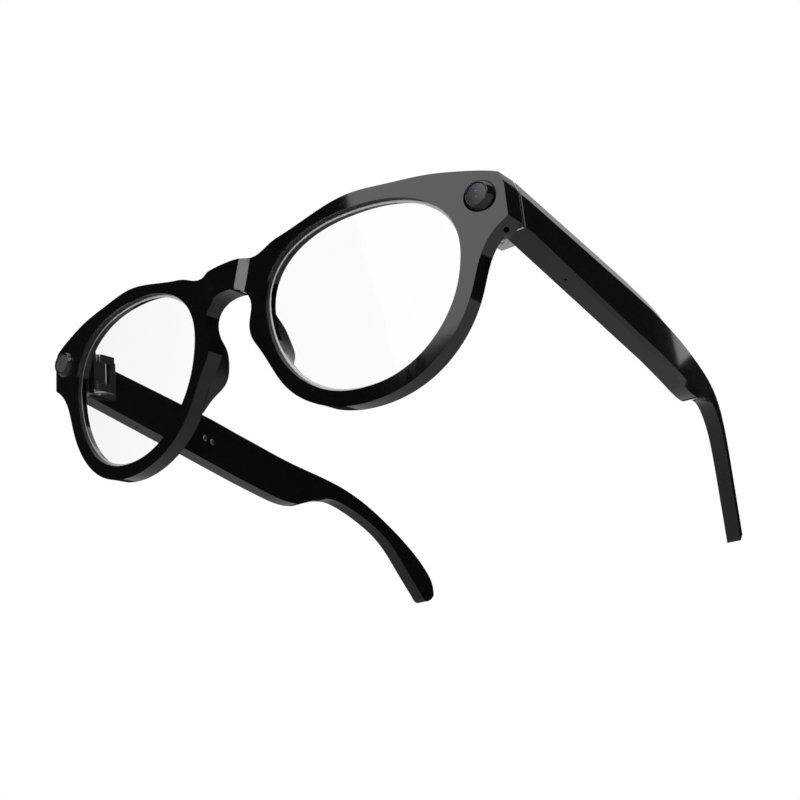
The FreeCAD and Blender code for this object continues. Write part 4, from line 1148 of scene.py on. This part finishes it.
@dataclass
class InnerPieces:
    """What the casings hold: these keep their CAD shapes and get their real finishes."""

    def build(self) -> None:
        """Dresses every inner CAD node."""
        finishes = {
            "battery": POUCH_FOIL, "circuit_board": BOARD_GREEN, "speaker_mesh": FINE_MESH,
            "speaker": SPEAKER_BLACK, "temple_microphone": CAN_STEEL, "tip_core": CORE_WIRE,
            "touch_strip": TOUCH_FILM, "front_mic_mesh": FINE_MESH, "front_microphone": CAN_STEEL,
            "camera_board": BOARD_GREEN, "led_board": BOARD_GREEN, "camera_flex": FLEX_AMBER,
            "led_flex": FLEX_AMBER, "camera_lens_stack": STACK_BLACK,
        }
        for node, item in frame["nodes"].items():
            if item.hide_render:
                continue
            names = [start for start in finishes if node.startswith(start)]
            finish = finishes[max(names, key=len)] if names else SATIN_BLACK
            WARDROBE.dress_node(node, finish)
            LOG.info("%s is dressed as %s", node, finish.name)


# ---------------------------------------------------------------- the studio


@dataclass
class Studio:
    """A pale floor, soft lights and the camera."""

    camera_spot: tuple[float, float, float] = (176.020, -189.609, -100.911)
    look_at: tuple[float, float, float] = (30.52, 22.60, -19.08)
    roll: float = -5.534
    lens_mm: float = 53.41
    floor_drop: float = 0.018
    floor_half: float = 4.0
    paper_reach: tuple[float, float] = (0.22, 0.8)  # where the paper's fade to white starts and ends
    fill: float = 0.5  # how bright the surroundings are for matt surfaces
    gloom: float = 0.02  # and for mirror-like ones
    floor_sheen: float = 0.45  # how bright the floor is in reflections

    def toward(self, x: float, y: float, z: float) -> Vector:
        """A direction of the glasses' own frame, in the row frame."""
        return (STANCE.to_3x3() @ Vector((x, y, z))).normalized()

    def build_camera(self) -> None:
        """The camera, below and to the wearer's left, looking up."""
        data = bpy.data.cameras.new("camera")
        data.lens, data.sensor_width = self.lens_mm, 36.0
        data.clip_start = 0.005
        ahead = (Vector(self.look_at) - Vector(self.camera_spot)).normalized()
        right = ahead.cross(Vector((0, 0, 1))).normalized()
        up = right.cross(ahead)
        turn = Matrix((right, up, -ahead)).transposed().to_4x4()
        turn = turn @ Matrix.Rotation(math.radians(self.roll), 4, "Z")
        place = STANCE @ Matrix.Translation(Vector(self.camera_spot)) @ turn
        spot, rotation, _ = place.decompose()
        camera = bpy.data.objects.new("camera", data)
        camera.matrix_world = Matrix.Translation(spot) @ rotation.to_matrix().to_4x4()
        bpy.context.scene.collection.objects.link(camera)
        bpy.context.scene.camera = camera

    def softbox(self, name: str, way: Vector, away: float, wide: float, tall: float, radiance: float,
                round_shape: bool = False) -> None:
        """A soft light that faces the glasses.

        Args:
            name: the light's name.
            way: the direction it stands in, from the glasses.
            away: its distance, in metres.
            wide: its width.
            tall: its height.
            radiance: how bright its face is.
            round_shape: whether it is an ellipse.
        """
        data = bpy.data.lights.new(name, "AREA")
        data.shape = "ELLIPSE" if round_shape else "RECTANGLE"
        data.size, data.size_y = wide, tall
        area = wide * tall * (math.pi / 4 if round_shape else 1)
        data.energy = radiance * math.pi * area
        light = bpy.data.objects.new(name, data)
        centre = Vector((0, -0.03, 0.03))
        light.location = centre + way.normalized() * away
        light.rotation_euler = (-way).to_track_quat("-Z", "Y").to_euler()
        light.visible_camera = False
        light.visible_transmission = False
        bpy.context.scene.collection.objects.link(light)

    def build_lights(self) -> None:
        """A front softbox, two soft panels behind, a strip for the bridge and a broad top light."""
        self.softbox("front_softbox", self.toward(0.26, -0.72, 0.62), 1.0, 1.40, 0.68, 2.4)
        self.softbox("rear_panel", self.toward(-0.01, 0.82, 0.57), 1.2, 0.85, 0.75, 0.75)
        self.softbox("bridge_strip", self.toward(-0.068, -0.972, 0.225), 1.0, 0.1, 0.12, 4.2)
        self.softbox("back_panel", self.toward(-0.54, 0.79, 0.42), 1.2, 1.1, 0.8, 1.0)
        self.softbox("top_panel", Vector((0.1, 0.15, 1)), 1.0, 1.2, 1.0, 1.1)

    def build_world(self) -> None:
        """White to the eye and through the lenses, dim for reflections."""
        world = bpy.data.worlds.new("studio")
        bpy.context.scene.world = world
        world.use_nodes = True
        tree = world.node_tree
        tree.nodes.clear()
        ray = add(tree, "ShaderNodeLightPath").outputs
        straight = add(tree, "ShaderNodeMath", {0: ray["Glossy Depth"], 1: 0.5}, operation="LESS_THAN")
        through_lens = add(tree, "ShaderNodeMath",
                           {0: ray["Is Transmission Ray"], 1: straight.outputs["Value"]},
                           operation="MULTIPLY")
        seen = add(tree, "ShaderNodeMath", {0: ray["Is Camera Ray"], 1: through_lens.outputs["Value"]},
                   operation="MAXIMUM")
        soft = add(tree, "ShaderNodeMath", {0: ray["Is Diffuse Ray"], 1: self.fill}, operation="MULTIPLY")
        level = add(tree, "ShaderNodeMath", {0: seen.outputs["Value"], 1: soft.outputs["Value"]},
                    operation="MAXIMUM")
        level = add(tree, "ShaderNodeMath", {0: level.outputs["Value"], 1: self.gloom}, operation="MAXIMUM")
        sky = add(tree, "ShaderNodeBackground", {"Color": (1, 1, 1, 1), "Strength": level.outputs["Value"]})
        add(tree, "ShaderNodeOutputWorld", {"Surface": sky.outputs["Background"]})

    def build_floor(self) -> None:
        """A pale floor that can be looked up through from below."""
        bm = bmesh.new()
        bmesh.ops.create_grid(bm, x_segments=1, y_segments=1, size=self.floor_half)
        bmesh.ops.translate(bm, vec=(0, 0, cad_box[0].z - self.floor_drop), verts=bm.verts[:])
        data = bpy.data.meshes.new("floor")
        bm.to_mesh(data)
        bm.free()
        finish = bpy.data.materials.new("pale_studio_paper")
        finish.use_nodes = True
        tree = finish.node_tree
        tree.nodes.clear()
        place = add(tree, "ShaderNodeTexCoord").outputs["Object"]
        mottle = add(tree, "ShaderNodeTexNoise", {"Vector": place, "Scale": 900.0, "Detail": 2.0})
        tone = add(tree, "ShaderNodeMix",
                   {0: mottle.outputs["Fac"], 6: linear("e9e9e8"), 7: linear("efefee")}, data_type="RGBA")
        bounces = add(tree, "ShaderNodeLightPath").outputs["Glossy Depth"]
        level = add(tree, "ShaderNodeMapRange", {"Value": bounces, "To Min": 1.0, "To Max": self.floor_sheen})
        shade = add(tree, "ShaderNodeVectorMath", {0: tone.outputs[2], "Scale": level.outputs["Result"]},
                    operation="SCALE")
        paper = add(tree, "ShaderNodeBsdfPrincipled",
                    {"Base Color": shade.outputs["Vector"], "Roughness": 0.9})
        away = add(tree, "ShaderNodeVectorMath", {0: place}, operation="LENGTH")
        fade = add(tree, "ShaderNodeMapRange",
                   {"Value": away.outputs["Value"], "From Min": self.paper_reach[0],
                    "From Max": self.paper_reach[1]}, interpolation_type="SMOOTHSTEP")
        white = add(tree, "ShaderNodeEmission", {"Color": (1, 1, 1, 1), "Strength": level.outputs["Result"]})
        top = add(tree, "ShaderNodeMixShader", {0: fade.outputs["Result"], 1: paper.outputs["BSDF"],
                                                2: white.outputs["Emission"]})
        clear = add(tree, "ShaderNodeBsdfTransparent")
        below = add(tree, "ShaderNodeNewGeometry").outputs["Backfacing"]
        mix = add(tree, "ShaderNodeMixShader", {0: below, 1: top.outputs["Shader"], 2: clear.outputs["BSDF"]})
        add(tree, "ShaderNodeOutputMaterial", {"Surface": mix.outputs["Shader"]})
        data.materials.append(finish)
        floor = bpy.data.objects.new("floor", data)
        bpy.context.scene.collection.objects.link(floor)

    def build(self) -> None:
        """Sets up the studio."""
        self.build_world()
        self.build_floor()
        self.build_lights()
        self.build_camera()
        bpy.context.scene.view_settings.view_transform = "Standard"


def main() -> None:
    """Builds the glasses and the studio in order."""
    logging.basicConfig(level=logging.INFO, format="%(message)s")
    Front(LensShape()).build()
    for side in Side:
        Temple(side).build()
    Metalwork().build()
    InnerPieces().build()
    Studio().build()


if __name__ == "__main__":
    main()
